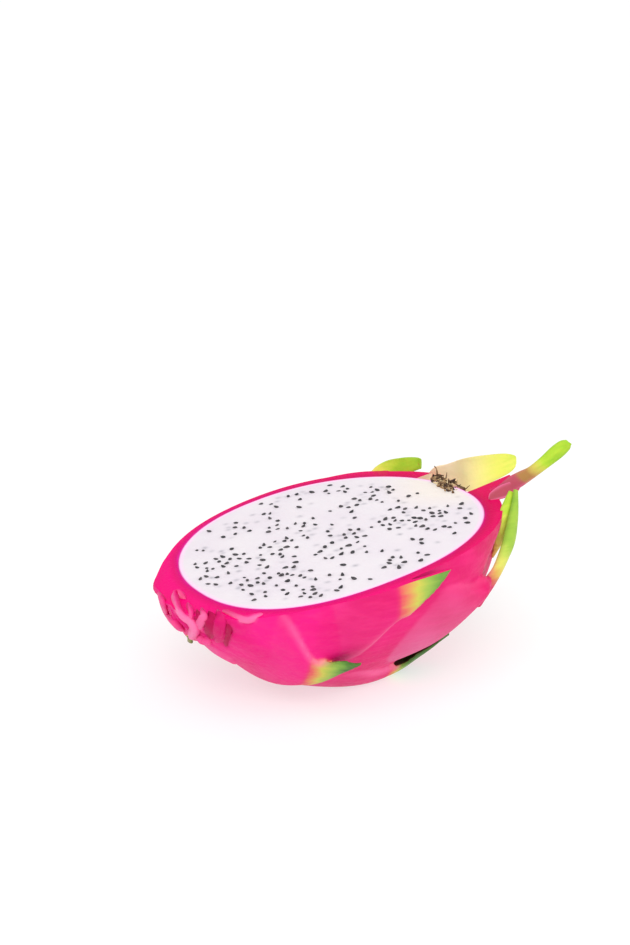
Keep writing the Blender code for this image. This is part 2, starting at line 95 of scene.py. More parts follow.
def lens_side(ring: Array, roundness: float) -> Array:
    """How far out of a lens's middle its face is: |sin t| to a power, with the sign of sin t."""
    return np.sign(np.sin(ring)) * np.abs(np.sin(ring)) ** roundness


def layers(grid: Array, *values: Array | float) -> Array:
    """The values side by side on a last axis, each spread over the grid's rows and columns."""
    return np.stack([np.broadcast_to(value, grid.shape) for value in values], axis=-1)


def drawn_curve(knots: Array, steps: int) -> Array:
    """A smooth curve through rows of numbers: a Catmull-Rom spline at even steps of its parameter.

    Between two knots p1 and p2 with neighbours p0 and p3, at a share u of the way, it is
    0.5 * (2 p1 + (p2 - p0) u + (2 p0 - 5 p1 + 4 p2 - p3) u^2 + (3 p1 - p0 - 3 p2 + p3) u^3).
    """
    ends = 2.0 * knots[0] - knots[1], 2.0 * knots[-1] - knots[-2]
    padded = np.vstack([ends[0], knots, ends[1]])
    place = np.linspace(0.0, len(knots) - 1.0, steps)
    left = np.minimum(place.astype(int), len(knots) - 2)
    u = (place - left)[:, None]
    p0, p1, p2, p3 = (padded[left + i] for i in range(4))
    curve = 2.0 * p1 + (p2 - p0) * u + (2.0 * p0 - 5.0 * p1 + 4.0 * p2 - p3) * u**2
    return 0.5 * (curve + (3.0 * p1 - p0 - 3.0 * p2 + p3) * u**3)


@dataclass
class FruitShape:
    """The fruit's driving sizes and the curves that follow from them."""

    skin_radius: float = 0.0478
    skin_centre_x: float = -0.005
    skin_to_stem: float = 0.0640
    skin_to_flower: float = 0.061
    skin_stem_power: float = 1.96
    skin_flower_power: float = 2.12
    flesh_radius: float = 0.0446
    flesh_centre_x: float = -0.0042
    flesh_half_length: float = 0.0536
    flesh_stem_power: float = 2.30
    flesh_flower_power: float = 2.08
    bend_rise: float = 0.0008
    bend: float = 1.5
    stem_pinch: float = 0.30
    pinch_start_x: float = -0.036
    pinch_length: float = 0.030
    axis_tilt: float = math.radians(7.8)
    flat_depth: float = 0.0010
    steps: int = 1201
    x: Array = field(init=False)
    radius: Array = field(init=False)
    arc: Array = field(init=False)
    slope: Array = field(init=False)

    def __post_init__(self) -> None:
        """Works out the skin's meridian: its arc length and its slope at each point."""
        self.x, self.radius = self.skin_profile(self.steps)
        stretch = np.hypot(np.diff(self.x), np.diff(self.radius))
        self.arc = np.concatenate([[0.0], np.cumsum(stretch)])
        self.slope = np.unwrap(np.arctan2(np.gradient(self.radius), np.gradient(self.x)))

    @staticmethod
    def meridian(centre: float, reach: tuple[float, float], radius: float, powers: tuple[float, float],
                 steps: int) -> tuple[Array, Array]:
        """Two half superellipses end to end: |x / reach|^power + (r / radius)^power = 1.

        Args:
            centre: where the two halves meet, along the axis.
            reach: how far each half goes, to the stem and to the flower.
            radius: the widest radius.
            powers: each half's power.
            steps: how many points.

        Returns:
            x and radius from the stem end to the flower end.
        """
        turn = np.linspace(math.pi, 0.0, steps)
        cosine = np.cos(turn)
        length = np.where(cosine < 0.0, reach[0], reach[1])
        root = 2.0 / np.where(cosine < 0.0, powers[0], powers[1])
        x = centre + length * np.sign(cosine) * np.abs(cosine) ** root
        return x, radius * np.abs(np.sin(turn)) ** root

    def skin_profile(self, steps: int) -> tuple[Array, Array]:
        """The skin's meridian, without its scales."""
        reach = (self.skin_to_stem, self.skin_to_flower)
        powers = (self.skin_stem_power, self.skin_flower_power)
        return self.meridian(self.skin_centre_x, reach, self.skin_radius, powers, steps)

    def flesh_profile(self, steps: int, grown: float = 0.0) -> tuple[Array, Array]:
        """The flesh's meridian, grown all round by a gap."""
        length = self.flesh_half_length + grown
        powers = (self.flesh_stem_power, self.flesh_flower_power)
        radius = self.flesh_radius + grown
        return self.meridian(self.flesh_centre_x, (length, length), radius, powers, steps)

    def axis_bend(self, x: Array) -> Array:
        """How far the bent axis lies towards +Y at x."""
        return self.bend_rise - self.bend * x * x

    def stem_depth(self, x: Array) -> Array:
        """The share of its depth that the skin keeps at x."""
        return 1.0 - self.stem_pinch * smooth((self.pinch_start_x - x) / self.pinch_length)

    def on_meridian(self, arc: Array) -> tuple[Array, Array, Array]:
        """x, radius and slope of the skin's meridian at an arc length."""
        return (np.interp(arc, self.arc, self.x), np.interp(arc, self.arc, self.radius),
                np.interp(arc, self.arc, self.slope))

    def flesh_share(self, points: Array) -> Array:
        """1 on the flesh's outline, less inside it and more outside, at points in the fruit frame."""
        x = points[:, 0] - self.flesh_centre_x
        y = points[:, 1] - self.axis_bend(points[:, 0])
        power = np.where(x < 0.0, self.flesh_stem_power, self.flesh_flower_power)
        along = np.abs(x / self.flesh_half_length) ** power
        across = np.abs(y / self.flesh_radius) ** power
        return (along + across) ** (1.0 / power)

    def to_world(self) -> Matrix:
        """The fruit frame's place: flower end raised, lowest skin sunk to its flat spot on the floor."""
        height = self.x * math.sin(self.axis_tilt) - self.radius * math.cos(self.axis_tilt)
        low = int(np.argmin(height))
        along = self.x[low] * math.cos(self.axis_tilt) + self.radius[low] * math.sin(self.axis_tilt)
        moved = Matrix.Translation((-float(along), 0.0, -float(height[low]) - self.flat_depth))
        return moved @ Matrix.Rotation(-self.axis_tilt, 4, "Y")


@dataclass(frozen=True)
class Ripeness:
    """How a scale's colour runs along it.

    Attributes:
        start: where it leaves the skin's colour, from where the tip leaves the skin, in metres.
        length: how far it takes to reach its last colour.
        last: its last colour, from 0, the skin's magenta, to 1, leaf green.
        cream: how pale and creamy it is before it turns green.
        painted_sheen: how much painted sheen pales the middle of its shield.
        edge: how much its margin differs: paler on a shield, a painted highlight, and darker on a green
            tip.
        lime: 1 where its green is the young leaf's bright lime.
        pale: how pale a pink it is all over.
        dusty: how dusty its pink is at the root.
    """

    start: float = -0.004
    length: float = 0.018
    last: float = 0.95
    cream: float = 0.0
    painted_sheen: float = 0.25
    edge: float = 0.5
    lime: float = 0.0
    pale: float = 0.0
    dusty: float = 0.0


@dataclass(frozen=True)
class Scale:
    """One leafy scale: a shield along the skin towards the flower end, then a free tip.

    Attributes:
        free_x: where the tip leaves the skin, along the fruit's axis.
        angle: where it leaves the skin, in degrees round the axis.
        attached: the shield's length.
        free: the free tip's length.
        half_width: the shield's half width.
        tip_half_width: the half width where the tip leaves the skin.
        base_turn: how far the shield's base is turned away from the angle, in degrees.
        drift: how far the tip is carried sideways.
        lift: how steeply the tip leaves the skin, in degrees.
        curl: how far the tip bends on from there, in degrees.
        spatulate: whether the tip is round like a spoon, and not pointed.
        proud: how far the shield stands out of the skin.
        widest: the share of the shield's length at which it begins to narrow.
        crown: how much lower its margins are than its middle.
        ripe: its colours.
    """

    free_x: float
    angle: float
    attached: float
    free: float
    half_width: float
    tip_half_width: float
    base_turn: float = 0.0
    drift: float = 0.0
    lift: float = 8.0
    curl: float = 0.0
    spatulate: bool = False
    proud: float = 0.0024
    widest: float = 0.5
    crown: float = 0.0011
    ripe: Ripeness = Ripeness()
    rows = (34, 30)
    around = 40

    # Shares and depths that every scale has alike.
    base_share = 0.60
    swell_share = 0.45
    lift_share = 0.35
    drift_power = 1.25
    point_power = 1.8
    spoon_swell = 0.25
    spoon_end = 0.9
    spoon_end_power = 6
    tip_unwrap = 1.2
    crown_rise_share = 0.6
    crown_tip_loss = 0.6
    point_half_width = 0.0007
    base_sunk = 0.0008
    root_depth = 0.0016
    blade_thickness = 0.0015
    tip_thickness = 0.0010
    margin_roundness = 0.38
    wave_height = 0.0004
    waves_along = 9.0
    waves_across = 3.0

    paint_start = 0.15
    paint_length = 0.7
    margin_share = 0.30
    cream_outside = 0.4
    cream_lost_ripe = 0.4
    painted_sheen_lean = 0.8

    def widths(self, along: Array, share: Array) -> Array:
        """Half widths: the shield swells, stays wide and narrows, then the tip narrows to its end."""
        swell = self.base_share + (1.0 - self.base_share) * smooth(along / self.swell_share)
        narrow = smooth((along - self.widest) / (1.0 - self.widest))
        shield = self.half_width * swell * (1.0 - narrow) + self.tip_half_width * narrow
        if self.spatulate:
            tip = 1.0 + self.spoon_swell * np.sin(math.pi * share)
            tip = tip * np.sqrt(1.0 - self.spoon_end * share**self.spoon_end_power)
        else:
            tip = 1.0 - share**self.point_power
        return np.concatenate([shield, np.maximum(self.tip_half_width * tip, self.point_half_width)])

    def grow(self, shape: FruitShape) -> Growth:
        """The scale as a closed tube whose section is a thin lens.

        Its middle line follows the meridian while its angle turns, then leaves the skin by the lift
        and bends by the curl. A ring parameter t goes round the lens: cos t is the place across,
        and the sign of sin t tells the outer face from the inner one. The outer face stands proud
        and is crowned across. The inner one is sunk in the skin, and under the tip it is a blade's
        thickness below.

        Args:
            shape: the fruit that the scale grows on.

        Returns:
            The tube in the fruit frame, with its paint.
        """
        attached_rows, free_rows = self.rows
        free_arc = np.interp(self.free_x, shape.x, shape.arc)
        along = np.linspace(0.0, 1.0, attached_rows + 1)
        arc = np.maximum(free_arc + (along - 1.0) * self.attached, shape.arc[4])
        x, radius, slope = shape.on_meridian(arc)
        angle = np.radians(self.angle + self.base_turn * (1.0 - smooth(along)))
        outer = -self.base_sunk + (self.proud + self.base_sunk) * smooth(along)
        inner = np.full_like(outer, -self.root_depth)

        share = np.linspace(0.0, 1.0, free_rows + 1)[1:]
        step = self.free / free_rows
        bend = slope[-1] + math.radians(self.lift) * smooth(share / self.lift_share)
        bend = bend + math.radians(self.curl) * share
        thickness = self.blade_thickness + (self.tip_thickness - self.blade_thickness) * share
        width = self.widths(along, share)
        flat = np.ones_like(along)
        wrap = np.concatenate([radius * flat, radius[-1] * (1.0 + self.tip_unwrap * share)])
        x = np.concatenate([x, x[-1] + np.cumsum(np.cos(bend)) * step])
        radius = np.concatenate([radius, radius[-1] + np.cumsum(np.sin(bend)) * step])
        slope = np.concatenate([slope, bend])
        angle = np.concatenate([angle, np.full_like(share, angle[-1])])
        outer = np.concatenate([outer, np.full_like(share, self.proud)])
        inner = np.concatenate([inner, self.proud - thickness])
        sideways = np.concatenate([0.0 * flat, self.drift * share**self.drift_power])
        rise = [smooth(along / self.crown_rise_share), 1.0 - self.crown_tip_loss * share]
        drop = self.crown * np.concatenate(rise)
        free = np.concatenate([0.0 * flat, share])

        ring = ring_angles(self.around)
        across = np.cos(ring)[None, :]
        side = lens_side(ring, self.margin_roundness)
        column = (slice(None), None)
        turn = across * width[column] / wrap[column]
        middle = 0.5 * (outer + inner)[column]
        half = 0.5 * (outer - inner)[column]
        sunk = drop[column] * across**2 * np.where(side[None, :] > 0.0, 1.0, free[column] > 0.0)
        wave = self.wave_height * smooth(2.0 * free[column]) * across**2
        wave = wave * np.sin(self.waves_along * free[column] + self.waves_across * across + self.angle)
        height = middle + half * side[None, :] - sunk + wave
        out_radial = radius[column] - wrap[column] * (1.0 - np.cos(turn))
        out_side = sideways[column] + wrap[column] * np.sin(turn)
        px = x[column] - height * np.sin(slope[column])
        radial = out_radial + height * np.cos(slope[column]) * np.cos(turn)
        out_side = out_side + height * np.cos(slope[column]) * np.sin(turn)
        cosine = np.cos(angle[column])
        sine = np.sin(angle[column])
        y = -radial * cosine + out_side * sine + shape.axis_bend(px)
        z = (-radial * sine - out_side * cosine) * shape.stem_depth(px)
        paint, tint = self.paint(along, share, across, side)
        return Growth.tube(np.stack([px, y, z], axis=-1), paint, tint)

    def paint(self, along: Array, share: Array, across: Array, side: Array) -> tuple[Array, Array]:
        """The colours of each point of the tube.

        Args:
            along: shares of the way along the shield.
            share: shares of the way along the free tip.
            across: the place across the lens.
            side: above 0 on the outer face, below it on the inner one.

        Returns:
            Ripeness, margin, cream and painted sheen, then lime, pale, dusty and 1.
        """
        ripe_for = self.ripe
        run = np.concatenate([(along - 1.0) * self.attached, share * self.free])[:, None]
        ripe = ripe_for.last * np.clip((run - ripe_for.start) / ripe_for.length, 0.0, 1.0)
        grown = smooth((along - self.paint_start) / self.paint_length)
        grown = np.concatenate([grown, np.ones_like(share)])[:, None]
        # On a shield the margin is paled, a painted highlight on its raised edge; on a green tip it is
        # darker.
        margin = grown * smooth((np.abs(across) - 1.0) / self.margin_share + 1.0) * ripe_for.edge
        inside = self.cream_outside + (1.0 - self.cream_outside) * (side[None, :] < 0.0)
        cream = grown * ripe_for.cream * inside * (1.0 - self.cream_lost_ripe * ripe)
        # Painted sheen: the middle of the shield is paled, most at its crown.
        shield = np.concatenate([np.sin(math.pi * along**self.painted_sheen_lean), np.zeros_like(share)])[:, None]
        painted_sheen = ripe_for.painted_sheen * shield * (1.0 - across**2)
        paint = layers(margin, ripe, margin, cream, painted_sheen)
        tint = layers(margin, ripe_for.lime, ripe_for.pale, ripe_for.dusty, 1.0)
        return paint, tint


@dataclass(frozen=True)
class Leaf:
    """A free leaf along a drawn line, from its root inside the rind to its tip.

    Attributes:
        line: x, y, z and half width at points along it, in millimetres in the fruit frame.
        broad: the direction across the leaf, near enough; it is squared up to the line.
        cup: how far its margins stand off its middle, as a share of the half width.
        crease: how sharply it is folded along its middle, as a share of the half width.
        thickness: its thickness in the middle, in metres.
        ripe: its colours; there start and length are shares of the whole line.
    """

    line: tuple[tuple[float, float, float, float], ...]
    broad: tuple[float, float, float]
    cup: float = 0.25
    crease: float = 0.0
    thickness: float = 0.0012
    ripe: Ripeness = Ripeness()
    rows = 60
    around = 36
    margin_roundness = 0.5
    ripple = 0.05
    ripples_along = 11.0
    ripples_across = 2.5
    least_half_width = 0.0003
    thin_end = 0.45
    full_half_width = 0.004
    margin_share = 0.38
    cream_start = 0.2
    cream_length = 0.5

    def grow(self, shape: FruitShape) -> Growth:
        """The leaf as a closed tube with a thin lens for its section.

        A ring parameter t goes round the lens. A point is the line, plus cos t times the half width
        across, plus a height: half the thickness times |sin t| to a power, cup * across^2,
        crease * |across| and a slow ripple at the margins.

        Args:
            shape: the fruit, unused: the line is already in its frame.

        Returns:
            The tube in the fruit frame, with its paint.
        """
        curve = drawn_curve(np.array(self.line) * MILLIMETRE, self.rows)
        centre = curve[:, :3]
        half = np.maximum(curve[:, 3], self.least_half_width)
        heading = unit(np.gradient(centre, axis=0))
        width = np.array(self.broad)[None, :]
        width = unit(width - heading * np.sum(heading * width, axis=1, keepdims=True))
        normal = np.cross(heading, width)
        ring = ring_angles(self.around)
        across = np.cos(ring)[None, :]
        side = lens_side(ring, self.margin_roundness)
        share = np.linspace(0.0, 1.0, self.rows)[:, None]
        taper = np.minimum(1.0, self.thin_end + half[:, None] / self.full_half_width)
        ripple = self.ripple * np.sin(self.ripples_along * share + self.ripples_across * across) * across**2
        height = half[:, None] * (self.cup * across**2 + self.crease * np.abs(across) + ripple)
        height = height + 0.5 * self.thickness * taper * side[None, :]
        points = centre[:, None, :] + (across * half[:, None])[..., None] * width[:, None, :]
        points = points + height[..., None] * normal[:, None, :]
        ripe = self.ripe.last * np.clip((share - self.ripe.start) / self.ripe.length, 0.0, 1.0)
        margin = smooth((np.abs(across) - 1.0) / self.margin_share + 1.0) * self.ripe.edge
        cream = self.ripe.cream * (1.0 - smooth((share - self.cream_start) / self.cream_length))
        paint = layers(height, ripe, margin, cream, 0.0)
        tint = layers(height, self.ripe.lime, self.ripe.pale, self.ripe.dusty, 1.0)
        return Growth.tube(points, paint, tint)


@dataclass(frozen=True)
class Fold:
    """A rounded fold or stub of rind along a drawn line.

    Attributes:
        line: x, y, z and radius at points along it, in millimetres in the fruit frame.
        pale: how pale its ridge is, a painted highlight along its outer side.
        ripe: how far its colour has turned.
        flat: its height as a share of its width.
        dark: how dark its foot is, where it meets its neighbours: painted shade.
        deep: how dark it is all over: painted shade, as in the gap between two folds.
    """

    line: tuple[tuple[float, float, float, float], ...]
    pale: float = 0.4
    ripe: float = 0.0
    flat: float = 1.0
    dark: float = 0.0
    deep: float = 0.0
    rows = 44
    around = 24
    end_power = 8
    end_share = 0.02
    upright = (0.4, 1.0, 1.0)
    wrinkle_depth = 0.10
    wrinkles_around = 4.0
    wrinkles_along = 9.0
    ridge_start = 0.55
    ridge_length = 0.4
    foot_share = 0.75

    def grow(self, shape: FruitShape) -> Growth:
        """A tube round the line: each ring is a circle squared up to it, closed small at both ends.

        Args:
            shape: the fruit, unused: the line is already in its frame.

        Returns:
            The tube in the fruit frame, with its paint.
        """
        curve = drawn_curve(np.array(self.line) * MILLIMETRE, self.rows)
        centre = curve[:, :3]
        share = np.linspace(0.0, 1.0, self.rows)[:, None]
        close = np.clip(1.0 - np.abs(2.0 * share - 1.0) ** self.end_power, self.end_share, 1.0)
        heading = unit(np.gradient(centre, axis=0))
        across = unit(np.cross(heading, unit(centre * np.array(self.upright))))
        normal = np.cross(across, heading)
        ring = ring_angles(self.around)[None, :]
        wrinkle = np.sin(self.wrinkles_around * ring + self.wrinkles_along * share)
        radius = curve[:, 3:] * np.sqrt(close) * (1.0 + self.wrinkle_depth * wrinkle)
        wide = (radius * np.cos(ring))[..., None] * across[:, None, :]
        high = (radius * self.flat * np.sin(ring))[..., None] * normal[:, None, :]
        points = centre[:, None, :] + wide + high
        # Painted highlight along the outer ridge; painted shade at the foot, and all over a fold in a gap.
        outer = 0.5 + 0.5 * np.sin(ring)
        ridge = smooth((outer - self.ridge_start) / self.ridge_length)
        shadow = np.maximum(self.dark * (1.0 - smooth(outer / self.foot_share)), self.deep)
        paint = layers(radius, self.ripe, 0.0, 0.0, 0.0)
        tint = layers(radius, 0.0, self.pale * ridge, 0.0, 1.0 - shadow)
        return Growth.tube(points, paint, tint)


@dataclass
class Growth:
    """A closed mesh that carries its own colours: four numbers of paint and four of tint a point."""

    points: Array
    faces: Array
    paint: Array
    tint: Array

    @staticmethod
    def tube(rings: Array, paint: Array, tint: Array) -> Growth:
        """A tube through rings of points, each end closed by a fan to its middle."""
        rows, around = rings.shape[:2]
        flat = [np.concatenate([grid.reshape(-1, grid.shape[-1]), [grid[0].mean(0)], [grid[-1].mean(0)]])
                for grid in (rings, paint, tint)]
        return Growth(flat[0], outward(flat[0], grid_faces(rows, around)), flat[1], flat[2])

    @staticmethod
    def bare(rings: Array) -> Growth:
        """A tube with no paint."""
        grid = rings[..., 0]
        return Growth.tube(rings, layers(grid, 0.0, 0.0, 0.0, 0.0), layers(grid, 0.0, 0.0, 0.0, 1.0))

    @staticmethod
    def together(parts: list[Growth]) -> Growth:
        """Several meshes as one loose mesh."""
        starts = np.cumsum([0] + [len(part.points) for part in parts[:-1]])
        faces = [part.faces + start for part, start in zip(parts, starts)]
        return Growth(np.concatenate([p.points for p in parts]), np.concatenate(faces),
                      np.concatenate([p.paint for p in parts]), np.concatenate([p.tint for p in parts]))

    def as_object(self, name: str) -> Piece:
        """A Blender object of this mesh, with its colours."""
        made = put_mesh(name, self.points, self.faces)
        put_colour(made.data, "paint", self.paint)
        put_colour(made.data, "tint", self.tint)
        return made


def grid_faces(rows: int, around: int) -> Array:
    """Triangles of a closed tube: bands between its rings, and a fan at each end.

    The first fan's middle is point rows * around, and the last one's is the next.
    """
    here = np.arange(around)
    beside = (here + 1) % around
    row = np.arange(rows - 1)[:, None] * around
    a, b = row + here, row + beside
    d, e = a + around, b + around
    bands = np.concatenate([np.stack([a, b, e], -1).reshape(-1, 3), np.stack([a, e, d], -1).reshape(-1, 3)])
    first = np.stack([beside, here, np.full(around, rows * around)], -1)
    last = (rows - 1) * around
    end = np.stack([last + here, last + beside, np.full(around, rows * around + 1)], -1)
    return np.concatenate([bands, first, end])


def outward(points: Array, faces: Array) -> Array:
    """Triangles turned so that the closed surface's volume is positive."""
    corner = points[faces]
    volume = np.einsum("ij,ij->", corner[:, 0], np.cross(corner[:, 1], corner[:, 2]))
    return faces if volume > 0.0 else faces[:, ::-1]


def put_mesh(name: str, points: Array, faces: Array) -> Piece:
    """An object from arrays of points and triangles."""
    mesh = bpy.data.meshes.new(name)
    mesh.from_pydata(np.ascontiguousarray(points, dtype=float), [], np.ascontiguousarray(faces))
    obj = bpy.data.objects.new(name, mesh)
    bpy.context.scene.collection.objects.link(obj)
    return obj


def put_colour(mesh: Mesh, name: str, values: Array) -> None:
    """Stores four numbers a point under a name."""
    layer = mesh.attributes.get(name) or mesh.attributes.new(name, "FLOAT_COLOR", "POINT")
    layer.data.foreach_set("color", np.ascontiguousarray(values, dtype=np.float32).ravel())


def tube_object(name: str, rings: Array) -> Piece:
    """An object of a closed tube through rings of points."""
    tube = Growth.bare(rings)
    return put_mesh(name, tube.points, tube.faces)


def read_values(elements: bpy.types.bpy_prop_collection, key: str, width: int = 1) -> Array:
    """One property of every element of a collection, a row for each."""
    values = np.empty(len(elements) * width, dtype=np.float32)
    elements.foreach_get(key, values)
    return values.reshape(-1, width).astype(float)


def mesh_points(mesh: Mesh) -> Array:
    """A mesh's points as an array."""
    return read_values(mesh.vertices, "co", 3)


def move_points(mesh: Mesh, points: Array) -> None:
    """Puts a mesh's points in new places."""
    mesh.vertices.foreach_set("co", points.astype(np.float32).ravel())


def apply_modifiers(obj: Piece) -> None:
    """Replaces an object's mesh with the one that its modifiers make."""
    bpy.context.view_layer.update()
    evaluated = obj.evaluated_get(bpy.context.evaluated_depsgraph_get())
    mesh = bpy.data.meshes.new_from_object(evaluated)
    obj.modifiers.clear()
    obj.data = mesh


def remove(*objects: Piece) -> None:
    """Removes scratch objects."""
    for obj in objects:
        bpy.data.objects.remove(obj, do_unlink=True)


class Operation(Enum):
    """What a Boolean does."""

    UNION = "UNION"
    DIFFERENCE = "DIFFERENCE"


def combine(obj: Piece, others: list[Piece], operation: Operation) -> None:
    """Joins other solids to an object, or takes them away, and removes them."""
    group = bpy.data.collections.new("operands")
    bpy.context.scene.collection.children.link(group)
    for other in others:
        group.objects.link(other)
    boolean = obj.modifiers.new("combine", "BOOLEAN")
    boolean.operation = operation.value
    boolean.operand_type = "COLLECTION"
    boolean.collection = group
    boolean.solver = "MANIFOLD"
    apply_modifiers(obj)
    remove(*others)
    bpy.data.collections.remove(group)


def slab(name: str, low: float, high: float) -> Piece:
    """A wide flat block between two heights, for trimming."""
    reach = 0.3
    corner = np.array([[-1, -1], [1, -1], [1, 1], [-1, 1]], dtype=float) * reach
    rings = np.stack([np.column_stack([corner, np.full(4, z)]) for z in (low, high)])
    return tube_object(name, rings)


@dataclass
class Rind:
    """The skin, its scales and its folds, grown together as one body and hollowed for the flesh."""

    shape: FruitShape
    grown: list[Scale | Leaf | Fold]
    standing: list[Scale | Leaf | Fold]
    rows: int = 200
    around: int = 340
    voxel: float = 0.00068
    spare_height: float = 0.0012
    fit_gap: float = 0.0001
    pit_centre_y: float = 0.0058
    pit_radius: float = 0.0118
    pit_back_x: float = 0.042
    pit_face_x: float = 0.0525
    pit_mouth_x: float = 0.072
    pit_mouth_radius: float = 0.0107
    sliver_area: float = 2e-8
    cut_slack: float = 0.00003
    cut_facing: float = 0.98
    crisp_angle: float = math.radians(48.0)
    fold_height: float = 0.0009
    fold_reach: float = 0.022
    swell_height: float = 0.0004
    furrow_depth: float = 0.0016
    furrow_x: float = -0.0605
    furrow_half: tuple[float, float] = (0.0013, 0.36)
    furrow_angle: float = 0.42
    press_depth: float = 0.0027
    press_x: float = 0.042
    press_half: tuple[float, float] = (0.012, 0.26)
    press_angle: float = 0.47
    gather_start: float = 0.004
    cavity_rows: int = 150
    cavity_around: int = 96
    pit_around: int = 64
    soften_factor: float = 0.5
    soften_passes: int = 2
    paint_passes: int = 2
    paint_reach: float = 0.0012
    funnel_cream: float = 0.9
    funnel_slack: float = 0.0004
    block_reach: float = 0.1

    def skin_relief(self, arc: Array, angle: Array) -> Array:
        """How far the bare skin stands out, at an arc s along it and an angle a round it.

        Folds, sin(13 a + 1.4 sin 3a) + 0.5 sin(29 a + 2), gather at the stem end under a bell of s.
        A slow swell, sin(3 a + 60 s) sin(70 s + 1.7 a), runs all over. A furrow lies below the stem,
        and the near side is pressed in by the leaves at the flower end: each is a bell.
        """
        gather = hill(arc / self.fold_reach) * smooth(arc / self.gather_start)
        folds = np.sin(13.0 * angle + 1.4 * np.sin(3.0 * angle)) + 0.5 * np.sin(29.0 * angle + 2.0)
        swell = np.sin(3.0 * angle + 60.0 * arc) * np.sin(70.0 * arc + 1.7 * angle)
        furrow = self.patch(arc, angle, self.furrow_x, self.furrow_angle, self.furrow_half)
        press = self.patch(arc, angle, self.press_x, self.press_angle, self.press_half)
        raised = self.fold_height * gather * folds + self.swell_height * swell
        return raised - self.furrow_depth * furrow - self.press_depth * press

    def patch(self, arc: Array, angle: Array, x: float, middle: float, half: tuple[float, float]) -> Array:
        """A bell over a patch of skin: 1 at x and its middle angle, nearly 0 two half sizes away."""
        place = np.interp(x, self.shape.x, self.shape.arc)
        return hill((arc - place) / half[0]) * hill((angle - middle) / half[1])

    def bare_skin(self) -> Growth:
        """The skin turned round the bent axis, its relief laid on along its normal."""
        arc = np.linspace(0.0, self.shape.arc[-1], self.rows + 2)[1:-1]
        x, radius, slope = self.shape.on_meridian(arc)
        angle = ring_angles(self.around)
        relief = self.skin_relief(arc[:, None], angle[None, :])
        px = x[:, None] - relief * np.sin(slope)[:, None]
        radial = radius[:, None] + relief * np.cos(slope)[:, None]
        y = -radial * np.cos(angle) + self.shape.axis_bend(px)
        z = -radial * np.sin(angle) * self.shape.stem_depth(px)
        return Growth.bare(np.stack([px, y, z], axis=-1))

    def turned(self, name: str, x: Array, radius: Array, around: int, centre_y: float) -> Piece:
        """A profile turned round a line along X, as a closed solid."""
        angle = (np.arange(around) + 0.5) * (FULL_TURN / around)
        px = np.broadcast_to(np.asarray(x)[:, None], (len(x), around))
        y = np.asarray(radius)[:, None] * np.cos(angle) + centre_y
        z = np.asarray(radius)[:, None] * np.sin(angle)
        return tube_object(name, np.stack([px, y, z], axis=-1))

    def cavity(self) -> Piece:
        """The hollow that the flesh fills, bent with the axis."""
        x, radius = self.shape.flesh_profile(self.cavity_rows, self.fit_gap)
        cavity = self.turned("cavity", x[1:-1], radius[1:-1], self.cavity_around, 0.0)
        points = mesh_points(cavity.data)
        points[:, 1] += self.shape.axis_bend(points[:, 0])
        move_points(cavity.data, points)
        return cavity

    def pit(self) -> Piece:
        """The funnel at the flower end where the dried flower sits."""
        x = [self.pit_back_x, self.pit_face_x, self.pit_mouth_x]
        radius = [self.pit_radius, self.pit_radius, self.pit_mouth_radius]
        return self.turned("pit", x, radius, self.pit_around, self.pit_centre_y)

    def build(self) -> Piece:
        """Grows, evens out, cuts and hollows the rind, and carries it to where it lies.

        The cut comes after the evening out, so its face is flat and its edges are crisp.
        """
        skin = self.bare_skin()
        rind = skin.as_object("skin_and_scales")
        grown = [part.grow(self.shape) for part in self.grown]
        standing = [part.grow(self.shape) for part in self.standing]
        combine(rind, [part.as_object(f"part {i}") for i, part in enumerate(grown)], Operation.UNION)
        combine(rind, [slab("spare", self.spare_height, self.block_reach)], Operation.DIFFERENCE)
        even = rind.modifiers.new("even", "REMESH")
        even.mode = "VOXEL"
        even.voxel_size = self.voxel
        soften = rind.modifiers.new("soften", "SMOOTH")
        soften.factor = self.soften_factor
        soften.iterations = self.soften_passes
        apply_modifiers(rind)
        combine(rind, [slab("above", 0.0, self.block_reach), self.pit()], Operation.DIFFERENCE)
        combine(rind, [self.cavity()], Operation.DIFFERENCE)
        combine(rind, [part.as_object(f"leaf {i}") for i, part in enumerate(standing)], Operation.UNION)
        self.carry_paint(rind, Growth.together([skin] + grown + standing))
        rind.data.transform(self.shape.to_world())
        combine(rind, [slab("floor", -self.block_reach, 0.0)], Operation.DIFFERENCE)
        self.mark_cut_face(rind.data)
        return rind

    def carry_paint(self, rind: Piece, source: Growth) -> None:
        """Takes each point's colours from the nearest part, then evens them with their neighbours."""
        guide = source.as_object("guide")
        for name in ("paint", "tint"):
            if name in rind.data.attributes:
                rind.data.attributes.remove(rind.data.attributes[name])
            put_colour(rind.data, name, np.zeros((len(rind.data.vertices), 4)))
        carry = rind.modifiers.new("carry", "DATA_TRANSFER")
        carry.object = guide
        carry.use_vert_data = True
        carry.data_types_verts = {"COLOR_VERTEX"}
        carry.vert_mapping = "POLYINTERP_NEAREST"
        carry.layers_vcol_vert_select_src = "ALL"
        carry.layers_vcol_vert_select_dst = "NAME"
        apply_modifiers(rind)
        remove(guide)
        mesh = rind.data
        edges = np.empty(len(mesh.edges) * 2, dtype=np.int32)
        mesh.edges.foreach_get("vertices", edges)
        first, second = edges.reshape(-1, 2).T
        count = len(mesh.vertices)
        points = mesh_points(mesh)
        short = np.linalg.norm(points[first] - points[second], axis=1) < self.paint_reach
        first, second = first[short], second[short]
        near = np.bincount(first, minlength=count) + np.bincount(second, minlength=count) + 1.0
        for name in ("paint", "tint"):
            values = read_values(mesh.attributes[name].data, "color", 4)
            for _ in range(self.paint_passes):
                total = values.copy()
                for channel in range(4):
                    total[:, channel] += np.bincount(first, values[second, channel], count)
                    total[:, channel] += np.bincount(second, values[first, channel], count)
                values = total / near[:, None]
            if name == "paint":
                values[:, 2] = np.maximum(values[:, 2], self.funnel_share(points))
            put_colour(mesh, name, values)

